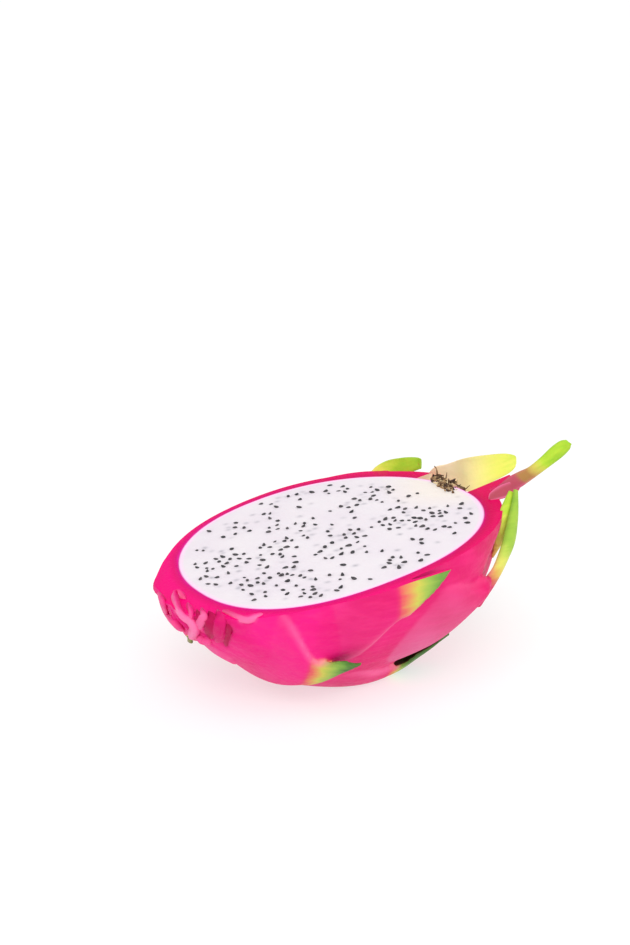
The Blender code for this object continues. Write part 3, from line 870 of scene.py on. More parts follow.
    def funnel_share(self, points: Array) -> Array:
        """1 on the pit's wall, 0 off it."""
        off_axis = np.hypot(points[:, 1] - self.pit_centre_y, points[:, 2])
        wide = smooth_step(points[:, 0], self.pit_face_x, self.pit_mouth_x)
        wall = self.pit_radius + (self.pit_mouth_radius - self.pit_radius) * wide
        on_wall = (np.abs(off_axis - wall) < self.funnel_slack) & (points[:, 0] > self.pit_back_x)
        return self.funnel_cream * on_wall

    def mark_cut_face(self, mesh: Mesh) -> None:
        """Gives the flat cut face the second material and sets smooth shading with crisp edges."""
        back = np.array(self.shape.to_world().inverted())
        height = read_values(mesh.polygons, "center", 3) @ back[2, :3] + back[2, 3]
        up = read_values(mesh.polygons, "normal", 3) @ back[2, :3]
        sliver = read_values(mesh.polygons, "area")[:, 0] < self.sliver_area
        ring = (np.abs(height) < self.cut_slack) & ((up > self.cut_facing) | sliver)
        mesh.materials.clear()
        mesh.polygons.foreach_set("material_index", ring.astype(np.int32))
        mesh.shade_smooth()
        mesh.set_sharp_from_angle(angle=self.crisp_angle)


@dataclass
class Flesh:
    """The flesh up to the cut: a half body whose top dips round each seed and shades over sunk ones."""

    shape: FruitShape
    rows: int = 210
    arc_columns: int = 50
    top_columns: int = 180
    grain: float = 0.00003
    dimple: float = 0.00018
    dimple_reach: float = 0.0013
    ghost_reach: float = 0.00090
    top_skin: float = 0.0006
    rim_power: int = 8
    batches: int = 8
    crisp_angle: float = math.radians(50.0)

    def build(self, seeds: Array, ghosts: Array) -> Piece:
        """Each row is a half disc: an arc below from the near rim to the far one, then back over the top.

        The top carries a pattern at x and at a share b across, on a row of radius r:
        sin(900 x + 5 b) sin(700 r b + 1) + 0.6 sin(2300 x + 1900 r b), which fades out at the rim.
        A bell-shaped dimple is taken away at each seed.

        Args:
            seeds: x, y of each seed at the surface.
            ghosts: x, y of each seed just below it.

        Returns:
            The flesh, with the ghosts' shade in its attribute.
        """
        x, radius = self.shape.flesh_profile(self.rows + 2)
        x, radius = x[1:-1, None], radius[1:-1, None]
        angle = np.linspace(0.0, math.pi, self.arc_columns)[None, :]
        back = np.linspace(1.0, -1.0, self.top_columns + 2)[None, 1:-1]
        y = np.concatenate([-radius * np.cos(angle), radius * back], axis=1)
        z = -radius * np.sin(angle)
        inside = 1.0 - np.abs(back) ** self.rim_power
        pattern = np.sin(900.0 * x + 5.0 * back) * np.sin(700.0 * radius * back + 1.0)
        pattern = pattern + 0.6 * np.sin(2300.0 * x + 1900.0 * radius * back)
        top = self.grain * inside * pattern * smooth(radius / 0.01)
        z = np.concatenate([z, top], axis=1)
        px = np.broadcast_to(x, z.shape)
        rings = np.stack([px, y + self.shape.axis_bend(px), z], axis=-1)
        flesh = tube_object("seeded_flesh", rings)
        points = mesh_points(flesh.data)
        upper = points[:, 2] > -self.top_skin
        points[:, 2] -= self.dimple * upper * self.nearness(points, seeds, self.dimple_reach)
        move_points(flesh.data, points)
        shade = self.nearness(points, ghosts, self.ghost_reach)
        # halo is each point's nearness to a seed, which the finish turns into painted shade in the dimple
        # round it.
        halo = self.nearness(points, seeds, self.dimple_reach)
        put_colour(flesh.data, "shade", layers(halo, shade, halo, 0.0, 1.0))
        flesh.data.transform(self.shape.to_world())
        flesh.data.shade_smooth()
        flesh.data.set_sharp_from_angle(angle=self.crisp_angle)
        return flesh

    def nearness(self, points: Array, places: Array, reach: float) -> Array:
        """A bell of the distance to the nearest place: 1 at it, and nearly 0 at twice the reach."""
        gap = np.full(len(points), np.inf)
        for part in np.array_split(places, self.batches):
            step = points[:, None, :2] - part[None, :, :2]
            gap = np.minimum(gap, np.sqrt(np.square(step).sum(-1)).min(1))
        return hill(gap / reach)


@dataclass
class Seeds:
    """The black seeds that the cut shows, half sunk in the flesh."""

    shape: FruitShape
    count: int = 232
    ghost_count: int = 90
    half_length: float = 0.00104
    half_width: float = 0.00068
    spacing: float = 0.0021
    border: float = 0.0036
    clear_of_pit: float = 0.0125
    loose_share: float = 0.34
    clump_spread: float = 0.0034
    draw_number: int = 11
    around: int = 12
    rows: int = 9
    pit_place: tuple[float, float] = (0.0515, 0.0062)
    cream_place: tuple[float, float] = (0.0485, 0.0062)
    ghost_spacing: float = 0.75
    drop_middle: float = 0.85
    drop_lean: float = 0.35
    drop_height: float = 0.75
    size_range: tuple[float, float] = (0.82, 1.16)
    tip_range: tuple[float, float] = (-0.45, 0.45)
    sunk_range: tuple[float, float] = (-0.00030, 0.00008)

    def scatter(self, draw: random.Random, count: int, taken: list[tuple[float, float, float]],
                gap: float) -> list[tuple[float, float, float]]:
        """(x, y, turn) of new seeds in clumps inside a clear border, none nearer than a gap to another."""
        made: list[tuple[float, float, float]] = []
        while len(made) < count:
            turn = draw.uniform(0.0, math.pi)
            if draw.random() < self.loose_share:
                x = self.shape.flesh_centre_x + draw.uniform(-1.0, 1.0) * self.shape.flesh_half_length
                y = draw.uniform(-1.0, 1.0) * self.shape.flesh_radius
            else:
                clump = draw.choice(SEED_CLUMPS)
                x = clump[0] + draw.gauss(0.0, self.clump_spread)
                y = clump[1] + draw.gauss(0.0, self.clump_spread)
            share = float(self.shape.flesh_share(np.array([[x, y, 0.0]]))[0])
            if share > 1.0 - self.border / self.shape.flesh_radius:
                continue
            if math.hypot(x - self.pit_place[0], y - self.pit_place[1]) < self.clear_of_pit:
                continue
            if all(math.hypot(x - px, y - py) > gap for px, py, _ in taken + made):
                made.append((x, y, turn))
        return made

    def places(self) -> tuple[Array, Array]:
        """The seeds at the surface and the ghosts of those just below it."""
        draw = random.Random(self.draw_number)
        seeds = self.scatter(draw, self.count, [], self.spacing)
        ghosts = self.scatter(draw, self.ghost_count, seeds, self.ghost_spacing * self.spacing)
        return np.array(seeds), np.array(ghosts)

    def build(self, places: Array) -> Piece:
        """One seed is a drop: radius = width * sin t * (middle + lean * cos t), turned round its length.

        Every seed is that drop, scaled, turned in the plane of the cut, tipped a little and sunk.

        Args:
            places: x, y and turn of each seed.

        Returns:
            All the seeds as one mesh.
        """
        scatter = np.random.default_rng(self.draw_number)
        number = len(places)
        t = np.linspace(0.0, math.pi, self.rows + 2)[1:-1]
        ring = ring_angles(self.around)
        swell = np.sin(t) * (self.drop_middle + self.drop_lean * np.cos(t))
        drop = np.stack([
            np.broadcast_to(-np.cos(t)[:, None] * self.half_length, (self.rows, self.around)),
            self.half_width * swell[:, None] * np.cos(ring),
            self.drop_height * self.half_width * swell[:, None] * np.sin(ring),
        ], axis=-1).reshape(-1, 3)
        drop = np.concatenate([drop, [[-self.half_length, 0, 0], [self.half_length, 0, 0]]])
        faces = outward(drop, grid_faces(self.rows, self.around))
        size = scatter.uniform(*self.size_range, number)
        tip = scatter.uniform(*self.tip_range, number)
        sunk = scatter.uniform(*self.sunk_range, number)
        turn = places[:, 2]
        along = np.stack([np.cos(turn) * np.cos(tip), np.sin(turn) * np.cos(tip), np.sin(tip)], axis=-1)
        aside = np.stack([-np.sin(turn), np.cos(turn), 0.0 * turn], axis=-1)
        upright = np.cross(along, aside)
        axes = np.stack([along, aside, upright], axis=1) * size[:, None, None]
        points = np.einsum("vk,nkj->nvj", drop, axes)
        centre = np.stack([places[:, 0], places[:, 1], sunk], axis=-1)
        points = (points + centre[:, None, :]).reshape(-1, 3)
        stacked = (faces[None] + (np.arange(number) * len(drop))[:, None, None]).reshape(-1, 3)
        seeds = put_mesh("seeds", points, stacked)
        seeds.data.transform(self.shape.to_world())
        seeds.data.shade_smooth()
        return seeds


@dataclass
class FlowerScar:
    """The dried remains of the flower: a dished pad, and a tuft of curved shreds on it."""

    shape: FruitShape
    centre_y: float = 0.0062
    radius: float = 0.0086
    back_x: float = 0.0490
    face_x: float = 0.0512
    shred_count: int = 150
    tuft_count: int = 150
    tuft_low: tuple[float, float] = (0.0462, -0.0005)
    tuft_high: tuple[float, float] = (0.0490, 0.0122)
    tuft_spread: float = 0.0011
    shred_length: float = 0.0042
    shred_radius: float = 0.00066
    draw_number: int = 3
    around: int = 7
    rows: int = 8
    pad_points: int = 40
    pad_top: float = -0.0002
    dish: float = 0.0006
    root_angles: tuple[float, float] = (0.02, 0.98)
    root_shares: tuple[float, float] = (0.02, 0.92)
    root_range: tuple[float, float] = (0.0008, 0.0040)
    root_squash: float = 0.9
    root_rise: float = 0.0002
    tuft_heights: tuple[float, float] = (-0.0002, 0.0006)
    length_range: tuple[float, float] = (0.35, 1.0)
    thick_range: tuple[float, float] = (0.6, 1.4)
    tuft_length: float = 0.75
    tuft_ways: tuple[float, float] = (-0.6, 0.7)
    tuft_rise: float = 0.35
    lean: tuple[float, float] = (0.32, 0.6)
    bow: tuple[float, float] = (0.5, 0.8)
    top_height: float = 0.0014
    end_taper: float = 0.75
    slowing: float = 0.25
    ring_lean: float = 0.15
    straw_power: float = 1.5
    pad_shade: float = 0.35
    crisp_angle: float = math.radians(40.0)

    def pad(self) -> tuple[Array, Array]:
        """A half disc turned from the near side to the far side, its face rough and dished."""
        angle = np.linspace(0.0, math.pi, self.pad_points)[None, :]
        profile_x = np.array([self.back_x, self.back_x, self.face_x, self.face_x - self.dish])[:, None]
        profile_r = np.array([0.02, 1.0, 1.0, 0.02])[:, None] * self.radius
        y = self.centre_y - profile_r * np.cos(angle)
        z = -profile_r * np.sin(angle)
        rings = np.stack([np.broadcast_to(profile_x, y.shape), y, z], axis=-1)
        top = rings[:, ::-1].copy()
        top[..., 2] = self.pad_top
        rings = np.concatenate([rings, top[:, 1:-1]], axis=1)
        rows, around = rings.shape[:2]
        points = np.concatenate([rings.reshape(-1, 3), [rings[0].mean(0)], [rings[-1].mean(0)]])
        return points, outward(points, grid_faces(rows, around))

    def shreds(self) -> tuple[Array, Array, Array]:
        """Each shred is a thin tapered tube along a bent line from the pad's face.

        At a share t of its length it has gone t (1 - slowing * t) forwards and lean * t + bow * t^2
        aside.
        The tuft's shreds lie on the rim above the pit, and point either way.

        Returns:
            Points, triangles and, for each point, a shade from 0, dark, to 1, straw.
        """
        draw = np.random.default_rng(self.draw_number)
        n = self.shred_count + self.tuft_count
        angle = math.pi * draw.uniform(*self.root_angles, n)
        reach = self.radius * np.sqrt(draw.uniform(*self.root_shares, n))
        start = self.face_x - draw.uniform(*self.root_range, n)
        root = np.stack([start, self.centre_y - reach * np.cos(angle),
                         self.root_rise - self.root_squash * reach * np.sin(angle)], axis=-1)
        tuft = np.arange(n) >= self.shred_count
        share = draw.uniform(0.0, 1.0, n)[:, None]
        lying = np.array(self.tuft_low) * (1.0 - share) + np.array(self.tuft_high) * share
        lying = lying + draw.normal(0.0, self.tuft_spread, (n, 2))
        root[tuft, :2] = lying[tuft]
        root[tuft, 2] = draw.uniform(*self.tuft_heights, n)[tuft]
        length = self.shred_length * draw.uniform(*self.length_range, n)
        length = length * np.where(tuft, self.tuft_length, 1.0)
        lean, bow = (np.clip(draw.normal(0.0, scatter, (n, 2)), -most, most)
                     for scatter, most in (self.lean, self.bow))
        t = np.linspace(0.0, 1.0, self.rows)
        line = np.zeros((n, self.rows, 3))
        line[..., 0] = length[:, None] * t * (1.0 - self.slowing * t)
        line[..., 1:] = length[:, None, None] * (lean[:, None, :] * t[None, :, None]
                                                  + bow[:, None, :] * t[None, :, None] ** 2)
        line[..., 0] *= np.where(tuft, draw.uniform(*self.tuft_ways, n), 1.0)[:, None]
        line[..., 2] = np.minimum(line[..., 2], self.top_height - root[:, None, 2])
        line[..., 2] = np.where(tuft[:, None], np.abs(line[..., 2]) * self.tuft_rise, line[..., 2])
        line = line + root[:, None, :]
        thick = self.shred_radius * draw.uniform(*self.thick_range, n)[:, None] * (1.0 - self.end_taper * t)
        ring = ring_angles(self.around)
        circle = np.stack([self.ring_lean * np.sin(ring), np.cos(ring), np.sin(ring)], axis=-1)
        points = line[:, :, None, :] + thick[:, :, None, None] * circle
        faces = grid_faces(self.rows, self.around)
        block = np.concatenate([points.reshape(n, -1, 3), line[:, :1], line[:, -1:]], axis=1)
        faces = outward(block[0], faces)
        stacked = (faces[None] + (np.arange(n) * block.shape[1])[:, None, None]).reshape(-1, 3)
        shade = np.broadcast_to(draw.uniform(0.0, 1.0, n)[:, None] ** self.straw_power, block.shape[:2])
        return block.reshape(-1, 3), stacked, shade.reshape(-1)

    def build(self) -> Piece:
        """The pad and its shreds as one dried thing."""
        pad, pad_faces = self.pad()
        shreds, shred_faces, shade = self.shreds()
        points = np.concatenate([pad, shreds])
        faces = np.concatenate([pad_faces, shred_faces + len(pad)])
        shade = np.concatenate([np.full(len(pad), self.pad_shade), shade])
        scar = put_mesh("dried_flower", points, faces)
        put_colour(scar.data, "paint", layers(shade, shade, shade, shade, 1.0))
        scar.data.transform(self.shape.to_world())
        scar.data.shade_smooth()
        scar.data.set_sharp_from_angle(angle=self.crisp_angle)
        return scar


def linear(*shown: int) -> tuple[float, float, float, float]:
    """A colour for a shader from the 0 to 255 values that a screen shows."""
    share = [value / 255.0 for value in shown]
    made = [s / 12.92 if s <= 0.04045 else ((s + 0.055) / 1.055) ** 2.4 for s in share]
    return (made[0], made[1], made[2], 1.0)


class Wiring:
    """A node tree with short calls to add and join its nodes."""

    def __init__(self, tree: Tree) -> None:
        """Keeps the tree and empties it."""
        self.tree = tree
        tree.nodes.clear()

    def fill(self, node: Node, values: dict[str | int, object]) -> None:
        """Links each input that is named to a socket, or sets its value."""
        for key, value in values.items():
            if isinstance(value, Socket):
                self.tree.links.new(value, node.inputs[key])
            else:
                node.inputs[key].default_value = value

    def node(self, kind: str, values: dict[str | int, object] | None = None, **settings: object) -> Node:
        """Adds a node, sets its properties and fills its inputs."""
        made = self.tree.nodes.new(kind)
        for key, value in settings.items():
            setattr(made, key, value)
        self.fill(made, values or {})
        return made

    def here(self) -> Socket:
        """The Object coordinates."""
        return self.node("ShaderNodeTexCoord").outputs["Object"]

    def split(self, value: Socket, kind: str = "XYZ") -> tuple[Socket, ...]:
        """The three parts of a vector, or of a colour."""
        return tuple(self.node(f"ShaderNodeSeparate{kind}", {0: value}).outputs)

    def stored(self, name: str) -> tuple[Socket, ...]:
        """The four numbers that the mesh stores under a name."""
        layer = self.node("ShaderNodeVertexColor", layer_name=name)
        return (*self.split(layer.outputs[0], "Color"), layer.outputs["Alpha"])

    def maths(self, operation: str, *values: object, clamp: bool = False) -> Socket:
        """One operation of a Math node on one to three values."""
        made = self.node("ShaderNodeMath", dict(enumerate(values)), operation=operation, use_clamp=clamp)
        return made.outputs[0]

    def ramp(self, factor: object, stops: list[tuple[float, tuple]]) -> Socket:
        """A Color Ramp over a factor."""
        made = self.node("ShaderNodeValToRGB")
        points = made.color_ramp.elements
        while len(points) < len(stops):
            points.new(0.5)
        for point, (place, colour) in zip(points, stops):
            point.position = place
            point.color = colour
        self.fill(made, {0: factor})
        return made.outputs[0]

    def blend(self, factor: object, first: object, second: object, kind: str = "MIX") -> Socket:
        """Mixes two colours by a factor."""
        values = {0: factor, 6: first, 7: second}
        return self.node("ShaderNodeMix", values, data_type="RGBA", blend_type=kind).outputs[2]

    def noise(self, place: object, scale: object, detail: float) -> Socket:
        """A Noise Texture's factor at a place."""
        values = {"Vector": place, "Scale": scale, "Detail": detail}
        return self.node("ShaderNodeTexNoise", values).outputs[0]

    def spread(self, value: object, low: float, high: float, to_low: float = 0.0,
               to_high: float = 1.0) -> Socket:
        """Maps a value from one range to another and holds it there."""
        values = dict(enumerate((value, low, high, to_low, to_high)))
        return self.node("ShaderNodeMapRange", values, clamp=True).outputs[0]


def mottle_group() -> Tree:
    """A group for uneven natural colour: a patchy value and fine bumps, from Object coordinates."""
    group = bpy.data.node_groups.new("natural mottle", "ShaderNodeTree")
    for name in ("Patch Scale", "Grain Scale"):
        group.interface.new_socket(name, in_out="INPUT", socket_type="NodeSocketFloat")
    for name in ("Patches", "Grain"):
        group.interface.new_socket(name, in_out="OUTPUT", socket_type="NodeSocketFloat")
    wires = Wiring(group)
    scales = wires.node("NodeGroupInput").outputs
    place = wires.here()
    patches = wires.noise(place, scales["Patch Scale"], 2.0)
    grain = wires.noise(place, scales["Grain Scale"], 5.0)
    wires.node("NodeGroupOutput", {"Patches": patches, "Grain": grain})
    return group


def outline_group(shape: FruitShape) -> Tree:
    """A group that tells how near a point of the cut is to the flesh's outline.

    It carries Object coordinates to the fruit frame and puts out the superellipse's share:
    (|x / length|^p + |y / radius|^p)^(1/p), which is 1 on the outline.
    """
    group = bpy.data.node_groups.new("flesh outline", "ShaderNodeTree")
    group.interface.new_socket("Share", in_out="OUTPUT", socket_type="NodeSocketFloat")
    wires = Wiring(group)
    back = shape.to_world().inverted()
    carry = wires.node("ShaderNodeMapping", {
        "Vector": wires.here(), "Location": back.to_translation(), "Rotation": back.to_euler(),
    })
    x, y, _ = wires.split(carry.outputs[0])
    along = wires.maths("SUBTRACT", x, shape.flesh_centre_x)
    sag = wires.maths("MULTIPLY", wires.maths("MULTIPLY", x, x), shape.bend)
    across = wires.maths("SUBTRACT", y, wires.maths("SUBTRACT", shape.bend_rise, sag))
    flower = wires.maths("GREATER_THAN", along, 0.0)
    change = shape.flesh_flower_power - shape.flesh_stem_power
    power = wires.maths("MULTIPLY_ADD", flower, change, shape.flesh_stem_power)
    terms = [wires.maths("POWER", wires.maths("DIVIDE", wires.maths("ABSOLUTE", part), reach), power)
             for part, reach in ((along, shape.flesh_half_length), (across, shape.flesh_radius))]
    share = wires.maths("POWER", wires.maths("ADD", *terms), wires.maths("DIVIDE", 1.0, power))
    wires.node("NodeGroupOutput", {"Share": share})
    return group


@dataclass(frozen=True)
class Finish:
    """What every finish here shares: a name, and how its Principled shader is set up."""

    name: str
    mottle: Tree
    outline: Tree | None = None

    def start(self) -> tuple[Material, Wiring, Node]:
        """A new material with a Principled shader on its output."""
        made = bpy.data.materials.new(self.name)
        made.use_nodes = True
        wires = Wiring(made.node_tree)
        shader = wires.node("ShaderNodeBsdfPrincipled")
        wires.node("ShaderNodeOutputMaterial", {"Surface": shader.outputs[0]})
        return made, wires, shader

    def patches(self, wires: Wiring, patch: float, grain: float) -> tuple:
        """The mottle group's two values at the given scales."""
        node = wires.node("ShaderNodeGroup", node_tree=self.mottle)
        wires.fill(node, {"Patch Scale": patch, "Grain Scale": grain})
        return node.outputs["Patches"], node.outputs["Grain"]

    def near_outline(self, wires: Wiring) -> Socket:
        """How near a point of the cut is to the flesh's outline, which is at 1."""
        return wires.node("ShaderNodeGroup", node_tree=self.outline).outputs[0]

    def bump(self, wires: Wiring, shader: Node, height: object, depth: float, strength: float) -> None:
        """Feeds the shader's normal from a height."""
        values = {"Distance": depth, "Strength": strength, "Height": height}
        wires.fill(shader, {"Normal": wires.node("ShaderNodeBump", values).outputs[0]})


@dataclass(frozen=True)
class SkinFinish(Finish):
    """Satin magenta skin that turns through dusty orange and yellow to green along its scales."""

    def make(self) -> Material:
        """Ripeness runs a colour ramp. A painted sheen pales the shields, cream the funnel, and margins
        differ.
        """
        made, wires, shader = self.start()
        ripe, margin, cream, painted_sheen = wires.stored("paint")
        lime, pale, dusty, shown = wires.stored("tint")
        # shown is 1 less the painted shade of the folds, and deep is that painted shade.
        deep = wires.maths("SUBTRACT", 1.0, shown)
        patches, grain = self.patches(wires, 48.0, 900.0)
        place = wires.here()
        lengthwise = wires.node("ShaderNodeMapping", {"Vector": place, "Scale": (60.0, 420.0, 420.0)})
        veins = wires.noise(lengthwise.outputs[0], 1.0, 3.0)
        flower = wires.spread(wires.split(place)[0], -0.045, 0.045)
        skin = wires.blend(wires.spread(patches, 0.35, 0.66), linear(222, 4, 112), linear(240, 22, 134))
        skin = wires.blend(flower, skin, linear(232, 200, 196), "MULTIPLY")
        skin = wires.blend(wires.spread(veins, 0.42, 0.68, 0.0, 0.35), skin, linear(238, 48, 128))
        # Painted sheen: the middle of each shield is paled towards a dusty pink.
        skin = wires.blend(wires.maths("MULTIPLY", painted_sheen, wires.spread(patches, 0.3, 0.7, 0.55, 1.0)), skin,
                           linear(220, 100, 150))
        skin = wires.blend(dusty, skin, linear(178, 74, 92))
        # Painted shade: the folds' feet and the gaps between them darken towards crimson.
        skin = wires.blend(deep, skin, linear(178, 0, 76))
        uneven = wires.maths("ADD", ripe, wires.spread(veins, 0.3, 0.7, -0.07, 0.07))
        uneven = wires.maths("MULTIPLY", uneven, wires.spread(ripe, 0.0, 0.1), clamp=True)
        turning = wires.ramp(uneven, [
            (0.0, linear(222, 60, 100)), (0.14, linear(224, 104, 96)), (0.28, linear(218, 158, 92)),
            (0.42, linear(202, 198, 84)), (0.62, linear(156, 188, 80)), (0.82, linear(112, 160, 68)),
            (1.0, linear(70, 112, 50)),
        ])
        young = wires.ramp(uneven, [
            (0.0, linear(206, 70, 96)), (0.16, linear(196, 108, 84)), (0.30, linear(220, 178, 88)),
            (0.46, linear(236, 230, 110)), (0.60, linear(224, 228, 96)), (0.76, linear(182, 212, 58)),
            (1.0, linear(134, 192, 40)),
        ])
        turning = wires.blend(lime, turning, young)
        olive = wires.maths("MULTIPLY", dusty, wires.spread(ripe, 0.35, 0.78, 1.0, 0.0))
        turning = wires.blend(olive, turning, linear(170, 124, 70))
        colour = wires.blend(wires.spread(ripe, 0.0, 0.10), skin, turning)
        # Paler pink: a stem scale's own pale colour, and a painted highlight along a fold's ridge.
        colour = wires.blend(pale, colour, linear(246, 128, 178))
        colour = wires.blend(cream, colour, linear(252, 232, 192))
        # Margins: on a shield a pale line, a painted highlight on its raised edge; on a green tip a darker
        # green.
        green = wires.spread(ripe, 0.30, 0.60)
        rim = wires.blend(green, linear(246, 120, 170), linear(66, 104, 44))
        colour = wires.blend(wires.maths("MULTIPLY", margin, 0.8), colour, rim)
        wires.fill(shader, {
            "Base Color": colour, "Roughness": wires.spread(grain, 0.3, 0.7, 0.42, 0.56),
            "Subsurface Weight": 0.12, "Subsurface Radius": (0.003, 0.0010, 0.0012),
            "Specular IOR Level": 0.15,
        })
        fine = wires.maths("MULTIPLY", grain, 0.3)
        self.bump(wires, shader, wires.maths("MULTIPLY_ADD", veins, 0.7, fine), 0.0008, 0.4)
        return made


@dataclass(frozen=True)
class CutRingFinish(Finish):
    """The rind where the knife went through: deep magenta, with a purple line along the flesh."""

    def make(self) -> Material:
        """The share past the flesh's outline runs from a purple line to bright magenta, with fibres."""
        made, wires, shader = self.start()
        share = self.near_outline(wires)
        patches, grain = self.patches(wires, 90.0, 1500.0)
        uneven = wires.spread(patches, 0.3, 0.7, -0.006, 0.006)
        colour = wires.ramp(wires.spread(wires.maths("ADD", share, uneven), 0.99, 1.15), [
            (0.0, linear(240, 110, 200)), (0.06, linear(228, 24, 156)), (0.14, linear(214, 2, 118)),
            (0.30, linear(224, 0, 110)), (0.55, linear(238, 0, 122)), (1.0, linear(238, 2, 120)),
        ])
        flower = wires.spread(wires.split(wires.here())[0], -0.030, 0.060)
        colour = wires.blend(flower, colour, linear(236, 120, 190), "MULTIPLY")
        colour = wires.blend(wires.spread(grain, 0.50, 0.80, 0.0, 0.16), colour, linear(250, 20, 140))
        wires.fill(shader, {
            "Base Color": colour, "Roughness": wires.spread(grain, 0.3, 0.7, 0.34, 0.5),
            "Specular IOR Level": 0.04,
        })
        self.bump(wires, shader, grain, 0.0004, 0.35)
        return made


@dataclass(frozen=True)
class FleshFinish(Finish):
    """Moist white flesh, pink at its border, with blurred seeds below its surface.

    It is creamy round a place by the dried flower, given in Object coordinates.
    """

    cream_place: tuple[float, float, float] = (0.0, 0.0, 0.0)

    def make(self) -> Material:
        """A pale ground with slow patches, painted shade round seeds, grey over sunk seeds, a pink border
        line.
        """
        made, wires, shader = self.start()
        share = self.near_outline(wires)
        sunk, halo, _, _ = wires.stored("shade")
        patches, grain = self.patches(wires, 60.0, 700.0)
        place = wires.here()
        uneven = wires.spread(patches, 0.35, 0.65)
        ground = wires.blend(uneven, linear(233, 226, 231), linear(229, 220, 228))
        values = {"Vector": place, "Scale": 520.0}
        cells = wires.node("ShaderNodeTexVoronoi", values, feature="DISTANCE_TO_EDGE")
        wet = wires.spread(cells.outputs["Distance"], 0.0, 0.12, 0.16, 0.0)
        ground = wires.blend(wet, ground, linear(236, 232, 238))
        # Painted shade: the flesh greys in the dimple round each seed.
        pocket = wires.maths("POWER", halo, 1.5)
        colour = wires.blend(wires.maths("MULTIPLY", pocket, 0.22), ground, linear(160, 154, 166))
        fade = wires.spread(wires.noise(place, 210.0, 1.0), 0.35, 0.65, 0.25, 0.85)
        colour = wires.blend(wires.maths("MULTIPLY", sunk, fade), colour, linear(166, 162, 172))
        reach = wires.node("ShaderNodeVectorMath", {0: place, 1: self.cream_place}, operation="DISTANCE")
        creamy = wires.spread(reach.outputs["Value"], 0.010, 0.024, 0.55, 0.0)
        colour = wires.blend(creamy, colour, linear(246, 236, 218))
        colour = wires.blend(wires.spread(share, 0.960, 0.988), colour, linear(250, 214, 240))
        colour = wires.blend(wires.spread(share, 0.990, 1.0), colour, linear(236, 96, 190))
        wires.fill(shader, {
            "Base Color": colour, "Roughness": wires.spread(grain, 0.3, 0.7, 0.34, 0.5),
            "Subsurface Weight": 0.25, "Subsurface Radius": (0.0022, 0.0020, 0.0020),
            "Specular IOR Level": 0.35,
        })
        self.bump(wires, shader, grain, 0.0003, 0.3)
        return made


@dataclass(frozen=True)
class SeedFinish(Finish):
    """Glossy black seed coats."""

    def make(self) -> Material:
        """Nearly black, with a little brown where the mottle is high."""
        made, wires, shader = self.start()
        patches, grain = self.patches(wires, 400.0, 2500.0)
        colour = wires.blend(wires.spread(patches, 0.4, 0.7), linear(38, 37, 42), linear(74, 68, 70))
        wires.fill(shader, {"Base Color": colour, "Roughness": 0.3})
        self.bump(wires, shader, grain, 0.0001, 0.2)
        return made


@dataclass(frozen=True)
class ScarFinish(Finish):
    """Dry plant fibre from dark brown to straw."""

    def make(self) -> Material:
        """Each shred's own shade runs the ramp, broken up by fine grain."""
        made, wires, shader = self.start()
        own = wires.stored("paint")[0]
        patches, grain = self.patches(wires, 300.0, 2600.0)
        shade = wires.maths("ADD", own, wires.spread(patches, 0.3, 0.7, -0.25, 0.25), clamp=True)
        colour = wires.ramp(shade, [
            (0.0, linear(52, 34, 26)), (0.4, linear(112, 80, 52)), (0.75, linear(190, 156, 112)),
            (1.0, linear(232, 210, 168)),
        ])
        wires.fill(shader, {"Base Color": colour, "Roughness": wires.spread(grain, 0.3, 0.7, 0.75, 0.95)})
        self.bump(wires, shader, grain, 0.0003, 0.5)
        return made


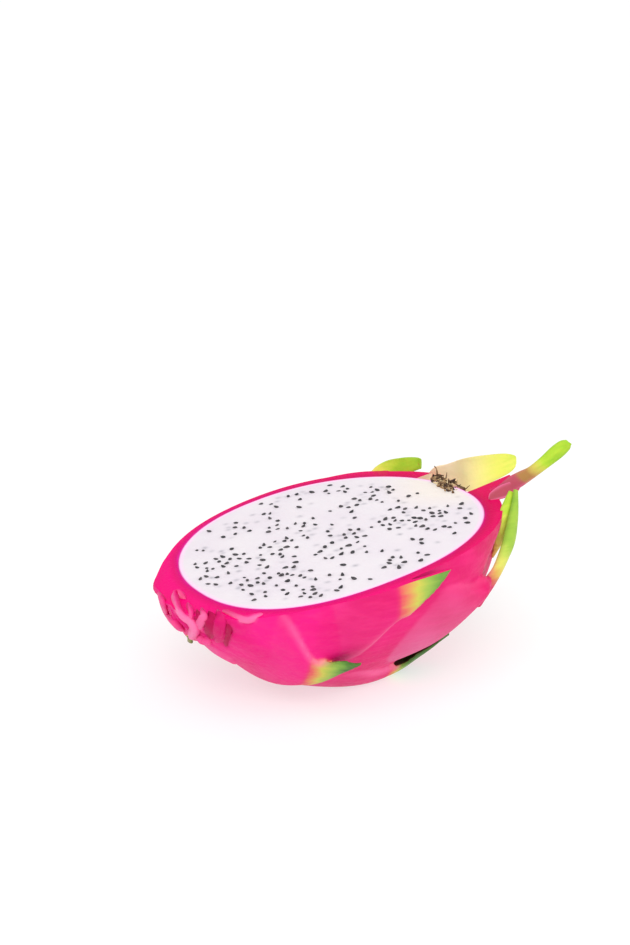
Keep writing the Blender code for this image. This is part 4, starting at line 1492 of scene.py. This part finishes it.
@dataclass
class Studio:
    """A pale floor, soft light and a camera at the photograph's angle."""

    azimuth: float = math.radians(-33.0)
    elevation: float = math.radians(20.35)
    distance: float = 0.600
    focal_px: float = 1768.6
    principal_px: tuple[float, float] = (340.6, 531.5)
    frame_px: tuple[int, int] = (630, 945)
    sensor: float = 36.0
    aim: Vector = field(default_factory=Vector)

    def camera(self) -> None:
        """Looks at the fruit frame's origin from the photograph's side, at its focal length."""
        data = bpy.data.cameras.new("camera")
        camera = bpy.data.objects.new("camera", data)
        bpy.context.scene.collection.objects.link(camera)
        level = math.cos(self.elevation)
        back = Vector((level * math.sin(self.azimuth), -level * math.cos(self.azimuth),
                       math.sin(self.elevation)))
        camera.location = self.aim + back * self.distance
        camera.rotation_euler = (-back).to_track_quat("-Z", "Y").to_euler()
        width, height = self.frame_px
        data.sensor_width = self.sensor
        data.lens = self.focal_px * self.sensor / height
        data.shift_x = (width / 2.0 - self.principal_px[0]) / height
        data.shift_y = (self.principal_px[1] - height / 2.0) / height
        data.clip_start = 0.01
        bpy.context.scene.camera = camera

    def lamp(self, name: str, place: tuple, size: float, power: float, colour: Colour) -> None:
        """A square area light that faces the fruit."""
        data = bpy.data.lights.new(name, "AREA")
        data.size = size
        data.energy = power
        data.color = colour
        lamp = bpy.data.objects.new(name, data)
        bpy.context.scene.collection.objects.link(lamp)
        lamp.location = place
        lamp.rotation_euler = (-Vector(place)).to_track_quat("-Z", "Y").to_euler()

    def floor(self) -> None:
        """A wide pale disc that runs past the camera's view."""
        reach = 40.0
        corners = 96
        angle = ring_angles(corners)
        rim = np.stack([reach * np.cos(angle), reach * np.sin(angle), np.zeros(corners)], axis=-1)
        points = np.concatenate([rim, [[0.0, 0.0, 0.0]]])
        here = np.arange(corners)
        faces = np.stack([here, (here + 1) % corners, np.full(corners, corners)], -1)
        floor = put_mesh("floor", points, faces)
        made = bpy.data.materials.new("floor")
        made.use_nodes = True
        wires = Wiring(made.node_tree)
        shader = wires.node("ShaderNodeBsdfPrincipled", {
            "Base Color": (0.40, 0.40, 0.40, 1.0), "Roughness": 0.95,
            "Emission Color": (1.0, 1.0, 1.0, 1.0), "Emission Strength": 0.60,
        })
        wires.node("ShaderNodeOutputMaterial", {"Surface": shader.outputs[0]})
        floor.data.materials.append(made)

    def sun(self) -> None:
        """A very soft sun from the upper left and front, which lights the floor evenly."""
        data = bpy.data.lights.new("soft_sun", "SUN")
        data.energy = 0.95
        data.angle = math.radians(50.0)
        sun = bpy.data.objects.new("soft_sun", data)
        bpy.context.scene.collection.objects.link(sun)
        sun.rotation_euler = Vector((0.55, 0.50, -1.15)).to_track_quat("-Z", "Y").to_euler()

    def build(self) -> None:
        """Sets up everything that isn't the fruit."""
        self.camera()
        self.floor()
        self.sun()
        self.lamp("sheen", (-0.30, -0.60, 0.55), 0.35, 1.6, (1.0, 0.99, 0.98))
        self.lamp("side", (0.75, -0.55, 0.30), 0.6, 1.8, (1.0, 0.98, 0.98))
        world = bpy.data.worlds.new("studio")
        world.use_nodes = True
        sky = world.node_tree.nodes["Background"]
        sky.inputs[0].default_value = (1.0, 1.0, 1.0, 1.0)
        sky.inputs[1].default_value = 0.72
        bpy.context.scene.world = world
        bpy.context.scene.view_settings.view_transform = "Standard"


# Where the seeds gather on the cut: x and y in the fruit frame.
SEED_CLUMPS = [
    (-0.025, 0.001), (-0.008, 0.009), (-0.009, 0.016), (-0.011, -0.009), (-0.044, 0.008),
    (-0.050, -0.003), (-0.040, -0.012), (-0.044, -0.023), (-0.028, -0.019), (-0.030, -0.028),
    (-0.031, -0.012), (0.000, -0.004),
    (0.017, -0.006), (0.017, 0.019), (0.028, 0.000), (0.034, -0.013), (0.040, -0.019), (0.026, 0.016),
    (0.024, -0.014), (-0.001, -0.033), (-0.001, -0.016), (-0.025, 0.030), (-0.005, 0.044), (0.007, 0.037),
    (0.019, 0.030), (-0.038, 0.012), (-0.019, -0.032), (-0.032, -0.036),
]

LIME = Ripeness(0.0005, 0.009, 0.78, painted_sheen=0.2, edge=0.3, lime=1.0)

# Each scale: free_x, angle, attached, free, half_width, tip_half_width, base_turn, drift, lift, curl.
# They run from the stem end to the flower end. The folds are the finger of rim and the bulge on the left.
GROWN_PARTS = [
    Scale(-0.036, 40.5, 0.025, 0.0138, 0.0310, 0.0082, 5, -0.0115, 3, 2, proud=0.0026, widest=0.40,
          crown=0.0006, ripe=Ripeness(-0.0035, 0.0135, 1.0, painted_sheen=0.1, edge=0.8)),
    Scale(-0.034, 122, 0.026, 0.0180, 0.0210, 0.0100, -5, 0.0040, 10, 6, proud=0.0026),
    Scale(-0.0077, 5.5, 0.040, 0.0200, 0.0215, 0.0085, 5, -0.0078, 4, 0, crown=0.0006,
          ripe=Ripeness(-0.0035, 0.017, 0.86, painted_sheen=0.15, edge=0.5)),
    # This scale's tip is dark green to its margins: partly painted shade for the dark gap under it.
    Scale(-0.0010, 67, 0.042, 0.0250, 0.0205, 0.0078, 8, -0.0066, -14, 0, proud=0.0046, crown=0.0018,
          ripe=Ripeness(-0.002, 0.008, 1.0, painted_sheen=0.4, edge=0.9)),
    Scale(-0.009, 154, 0.040, 0.0220, 0.0205, 0.0085, 0, 0.0030, 8, 8),
    # This scale's pale shield is a strong painted sheen.
    Scale(0.0270, 27.0, 0.051, 0.0050, 0.0200, 0.0050, 18, -0.0015, -14, -30, False, 0.0046, 0.60, 0.0030,
          ripe=Ripeness(0.004, 0.014, 0.2, painted_sheen=0.95, edge=0.25)),
    Scale(0.022, 116, 0.046, 0.0240, 0.0200, 0.0070, 2, 0.0020, 12, 10),
    Scale(0.040, 70, 0.034, 0.0070, 0.0140, 0.0046, 4, -0.0010, 0, -6),
    Scale(0.043, 144, 0.032, 0.0180, 0.0130, 0.0046, 0, 0.0030, 14, 10),
    Scale(0.0400, 170, 0.036, 0.0060, 0.0130, 0.0060, -6, 0.0, 4, 0),
    Scale(0.0505, 64, 0.014, 0.0100, 0.0085, 0.0042, 0, -0.001, 16, 6, True, 0.0014, ripe=LIME),
    Scale(0.0510, 92, 0.014, 0.0110, 0.0090, 0.0046, 0, 0.001, 30, 8, True, 0.0014, ripe=LIME),
    Scale(0.0505, 134, 0.014, 0.0150, 0.0085, 0.0042, 0, 0.002, 36, 10, True, 0.0014, ripe=LIME),
    Fold(((47.0, -9.4, -1.2, 2.4), (51.7, -7.7, -1.2, 3.4), (57.0, -6.0, -1.2, 3.9),
          (61.3, -5.6, -1.2, 3.9), (65.4, -5.5, -1.2, 3.2), (69.2, -5.2, -1.6, 2.0)), pale=0.1),
    Fold(((-50.6, 28.7, -1.2, 1.0), (-55.0, 24.4, -1.2, 1.3), (-59.9, 17.7, -1.2, 1.7),
          (-64.4, 10.9, -1.2, 2.1), (-66.6, 5.0, -1.2, 1.4)), pale=0.1),
]

# The crumpled folds at the stem end, from the far side of the rim to the near one.
# A dark foot and deep are painted shade, for the creases and gaps between the folds.
STEM_FOLDS = [
    Fold(((-66.9, 6.5, -0.7, 1.1), (-69.3, -1.1, -0.5, 1.6), (-65.7, 4.5, -8.3, 2.0),
          (-68.0, -5.0, -7.2, 2.0), (-65.3, -4.2, -11.4, 1.6)), pale=0.4, dark=0.5, flat=0.7),
    Fold(((-63.4, -5.8, 0.0, 1.2), (-63.7, -2.9, 0.5, 2.0), (-65.5, -2.6, 0.6, 2.0),
          (-67.5, -7.4, 0.3, 1.6), (-69.1, -12.3, -0.1, 1.5), (-68.5, -14.0, -1.6, 1.6),
          (-67.7, -16.3, -2.4, 1.8), (-67.2, -16.9, -5.1, 1.8), (-65.8, -10.6, -10.6, 1.6),
          (-64.2, -6.4, -14.0, 1.0)), pale=0.85, dark=0.5, flat=0.62),
    Fold(((-63.2, -16.2, 0.1, 1.3), (-65.5, -21.1, 0.3, 1.6), (-66.1, -19.0, -3.2, 1.6),
          (-65.8, -15.0, -6.9, 1.1)), pale=0.6, dark=0.5, flat=0.6),
    Fold(((-64.7, -9.3, -0.1, 1.1), (-66.4, -14.4, 0.1, 1.5),
          (-67.7, -17.6, -0.9, 1.2)), pale=0.4, dark=0.5, flat=0.6),
    Fold(((-64.7, -15.6, -0.2, 1.0), (-66.4, -19.2, -0.1, 1.2),
          (-66.8, -18.6, -1.6, 0.9)), pale=0.0, deep=1.0, flat=0.5),
    Fold(((-62.4, -19.5, -0.5, 1.5), (-64.1, -23.4, -0.8, 2.3), (-63.9, -22.0, -5.1, 2.3),
          (-62.6, -17.7, -9.8, 1.6)), pale=0.0, deep=1.0, flat=0.45),
    Fold(((-60.0, -21.0, -0.2, 1.5), (-62.6, -26.3, -0.2, 2.0), (-62.5, -24.3, -5.2, 2.0),
          (-61.5, -19.6, -11.0, 1.5)), pale=0.0, dark=0.6, deep=0.35, flat=0.6),
    Fold(((-59.4, -25.8, -0.3, 1.0), (-60.3, -26.9, -2.7, 1.3), (-59.5, -24.1, -8.0, 1.3),
          (-59.0, -20.9, -13.0, 1.0)), pale=0.0, deep=1.0, flat=0.55),
    Fold(((-59.1, -21.8, 0.0, 1.0), (-58.3, -26.1, 0.1, 1.2), (-57.7, -30.0, 0.1, 1.3),
          (-56.1, -32.8, -0.1, 1.3), (-53.9, -33.4, 0.1, 1.2), (-50.8, -33.2, 0.0, 0.9)),
         pale=0.7, flat=0.6),
    Fold(((-65.0, -14.1, -9.1, 1.7), (-63.7, -15.3, -10.5, 2.0),
          (-62.4, -17.7, -10.7, 1.6)), pale=0.35, dark=0.7),
    Fold(((-65.0, -7.1, -12.5, 0.8), (-64.2, -5.5, -15.0, 0.8),
          (-63.9, -6.3, -15.6, 0.3)), pale=0.2, ripe=0.9),
]

# The near leaf and the one behind it, the small one on the rim, the long one, the wide one by the pit
# and the one behind the far rim.
STANDING_LEAVES = [
    Leaf(((32.3, -30.6, -29.5, 2.0), (34.0, -32.9, -24.7, 3.2), (35.7, -34.8, -20.5, 3.6),
          (38.7, -35.3, -16.9, 3.1), (43.3, -34.3, -12.3, 3.6), (47.4, -32.4, -8.9, 3.9),
          (50.6, -30.2, -5.0, 3.1), (53.5, -27.8, -0.8, 2.2), (56.2, -25.4, 4.3, 1.2)),
         (-0.790, -0.298, 0.537), -0.25, ripe=Ripeness(0.20, 0.38, 0.80, painted_sheen=0.0, edge=0.35, lime=0.55)),
    Leaf(((44.3, -24.7, -17.2, 0.5), (45.0, -26.1, -14.3, 1.1), (45.3, -27.8, -11.0, 1.8),
          (46.1, -28.9, -7.3, 2.5), (48.4, -28.3, -3.8, 2.9), (51.2, -27.0, -0.6, 2.8),
          (55.2, -24.7, 3.3, 1.8)),
         (-0.834, -0.130, 0.537), -0.25, ripe=Ripeness(-0.35, 1.2, 0.78, painted_sheen=0.0, edge=0.2, lime=1.0)),
    Leaf(((50.6, -17.1, 0.1, 0.5), (52.3, -16.8, 0.2, 1.8), (54.9, -16.9, 0.3, 2.5),
          (58.5, -16.8, 0.4, 2.8), (62.2, -16.1, 0.5, 2.2), (64.8, -15.6, 0.6, 0.6)),
         (0.101, 0.895, 0.433), 0.30,
         ripe=Ripeness(1.5, 1.0, 0.0, painted_sheen=0.0, edge=0.9, lime=1.0, dusty=1.0)),
    Leaf(((58.3, -12.4, -1.2, 1.8), (59.9, -14.5, 0.2, 2.6), (62.7, -15.5, 1.3, 3.1),
          (66.7, -15.6, 2.1, 2.8), (71.5, -15.4, 2.9, 2.3), (77.8, -15.0, 4.6, 2.5),
          (83.1, -14.7, 6.3, 2.9), (87.1, -14.4, 7.6, 2.5), (89.0, -14.5, 8.4, 1.3)),
         (0.101, 0.895, 0.433), 0.20, 0.15,
         ripe=Ripeness(0.32, 0.30, 0.84, painted_sheen=0.0, edge=0.25, lime=1.0, dusty=1.0)),
    Leaf(((53.6, 22.6, -2.6, 0.6), (54.7, 19.8, -2.2, 2.8), (57.0, 16.7, -2.2, 3.8),
          (59.2, 13.6, -2.2, 5.2), (61.5, 10.6, -2.0, 6.3), (65.0, 9.3, -2.0, 6.2), (70.4, 9.2, -2.2, 5.2),
          (75.4, 9.1, -2.6, 4.4), (79.3, 9.4, -3.0, 3.5), (82.1, 9.8, -3.2, 2.3), (83.1, 9.9, -3.4, 1.2)),
         (0.0, 0.15, 0.99), 0.10, 0.0,
         ripe=Ripeness(-1.5, 2.3, 0.62, cream=1.0, painted_sheen=0.0, edge=0.12, lime=1.0)),
    Leaf(((36.8, 36.0, -1.8, 1.0), (39.6, 34.9, -0.8, 2.2), (43.2, 33.5, -0.2, 2.9),
          (46.8, 31.6, -0.0, 3.0), (50.1, 29.8, -0.0, 2.8), (52.5, 28.5, 0.0, 2.3), (53.3, 27.3, 0.0, 1.9)),
         (0.1, 0.25, 0.96), 0.10, 0.0,
         ripe=Ripeness(-0.5, 1.0, 0.86, painted_sheen=0.0, edge=0.2, lime=1.0)),
]

# Of the stem end's places for a scale, the first ones are behind the folds and stay empty.
STEM_PLACES = 9
STEM_PLACES_EMPTY = 3
STEM_DRAW_NUMBER = 5
STEM_SCATTER_X = 0.0008
STEM_SCATTER_ANGLE = 5.0
STEM_SCATTER_CURL = 8.0
STEM_RIPE = Ripeness(0.003, 0.010, 0.15, painted_sheen=0.4, edge=0.5, pale=0.25)

STEM_KINDS = [
    Scale(-0.0640, 0.0, 0.008, 0.0050, 0.0052, 0.0034, 0, 0.0010, -4, -20, proud=0.0016),
    Scale(-0.0575, 0.0, 0.012, 0.0060, 0.0078, 0.0048, 0, -0.0010, 0, -12, proud=0.0018),
]


def stem_scales() -> list[Scale]:
    """The small folded scales at the stem end: two kinds in turn, with a seeded scatter."""
    draw = random.Random(STEM_DRAW_NUMBER)
    made = []
    for i in range(STEM_PLACES_EMPTY, STEM_PLACES):
        kind = STEM_KINDS[i % len(STEM_KINDS)]
        made.append(replace(
            kind,
            free_x=kind.free_x + draw.uniform(-STEM_SCATTER_X, STEM_SCATTER_X),
            angle=180.0 * (i + 0.5) / STEM_PLACES + draw.uniform(-STEM_SCATTER_ANGLE, STEM_SCATTER_ANGLE),
            curl=kind.curl + draw.uniform(-STEM_SCATTER_CURL, STEM_SCATTER_CURL),
            ripe=STEM_RIPE,
        ))
    return made


def main() -> None:
    """Builds the fruit's pieces in order, dresses them and reports each."""
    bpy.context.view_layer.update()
    shape = FruitShape()
    mottle = mottle_group()
    outline = outline_group(shape)
    rind = Rind(shape, GROWN_PARTS + stem_scales(), STANDING_LEAVES + STEM_FOLDS).build()
    rind.data.materials.append(SkinFinish("skin", mottle).make())
    rind.data.materials.append(CutRingFinish("cut rind", mottle, outline).make())
    seeding = Seeds(shape)
    by_pit = shape.to_world() @ Vector((*seeding.cream_place, 0.0))
    places, ghosts = seeding.places()
    flesh = Flesh(shape).build(places, ghosts)
    flesh.data.materials.append(FleshFinish("flesh", mottle, outline, tuple(by_pit)).make())
    seeds = seeding.build(places)
    seeds.data.materials.append(SeedFinish("seeds", mottle).make())
    scar = FlowerScar(shape).build()
    scar.data.materials.append(ScarFinish("dried flower", mottle).make())
    for piece, node in ((rind, "rind"), (flesh, "flesh"), (scar, "flower_scar"), (seeds, None)):
        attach(piece, BODY)
        if node:
            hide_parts(node)
        LOG.info("%s: %d faces", piece.name, len(piece.data.polygons))
    Studio(aim=shape.to_world().to_translation()).build()
    bpy.context.view_layer.update()


if __name__ == "__main__":
    logging.basicConfig(level=logging.INFO, format="%(name)s: %(message)s")
    main()
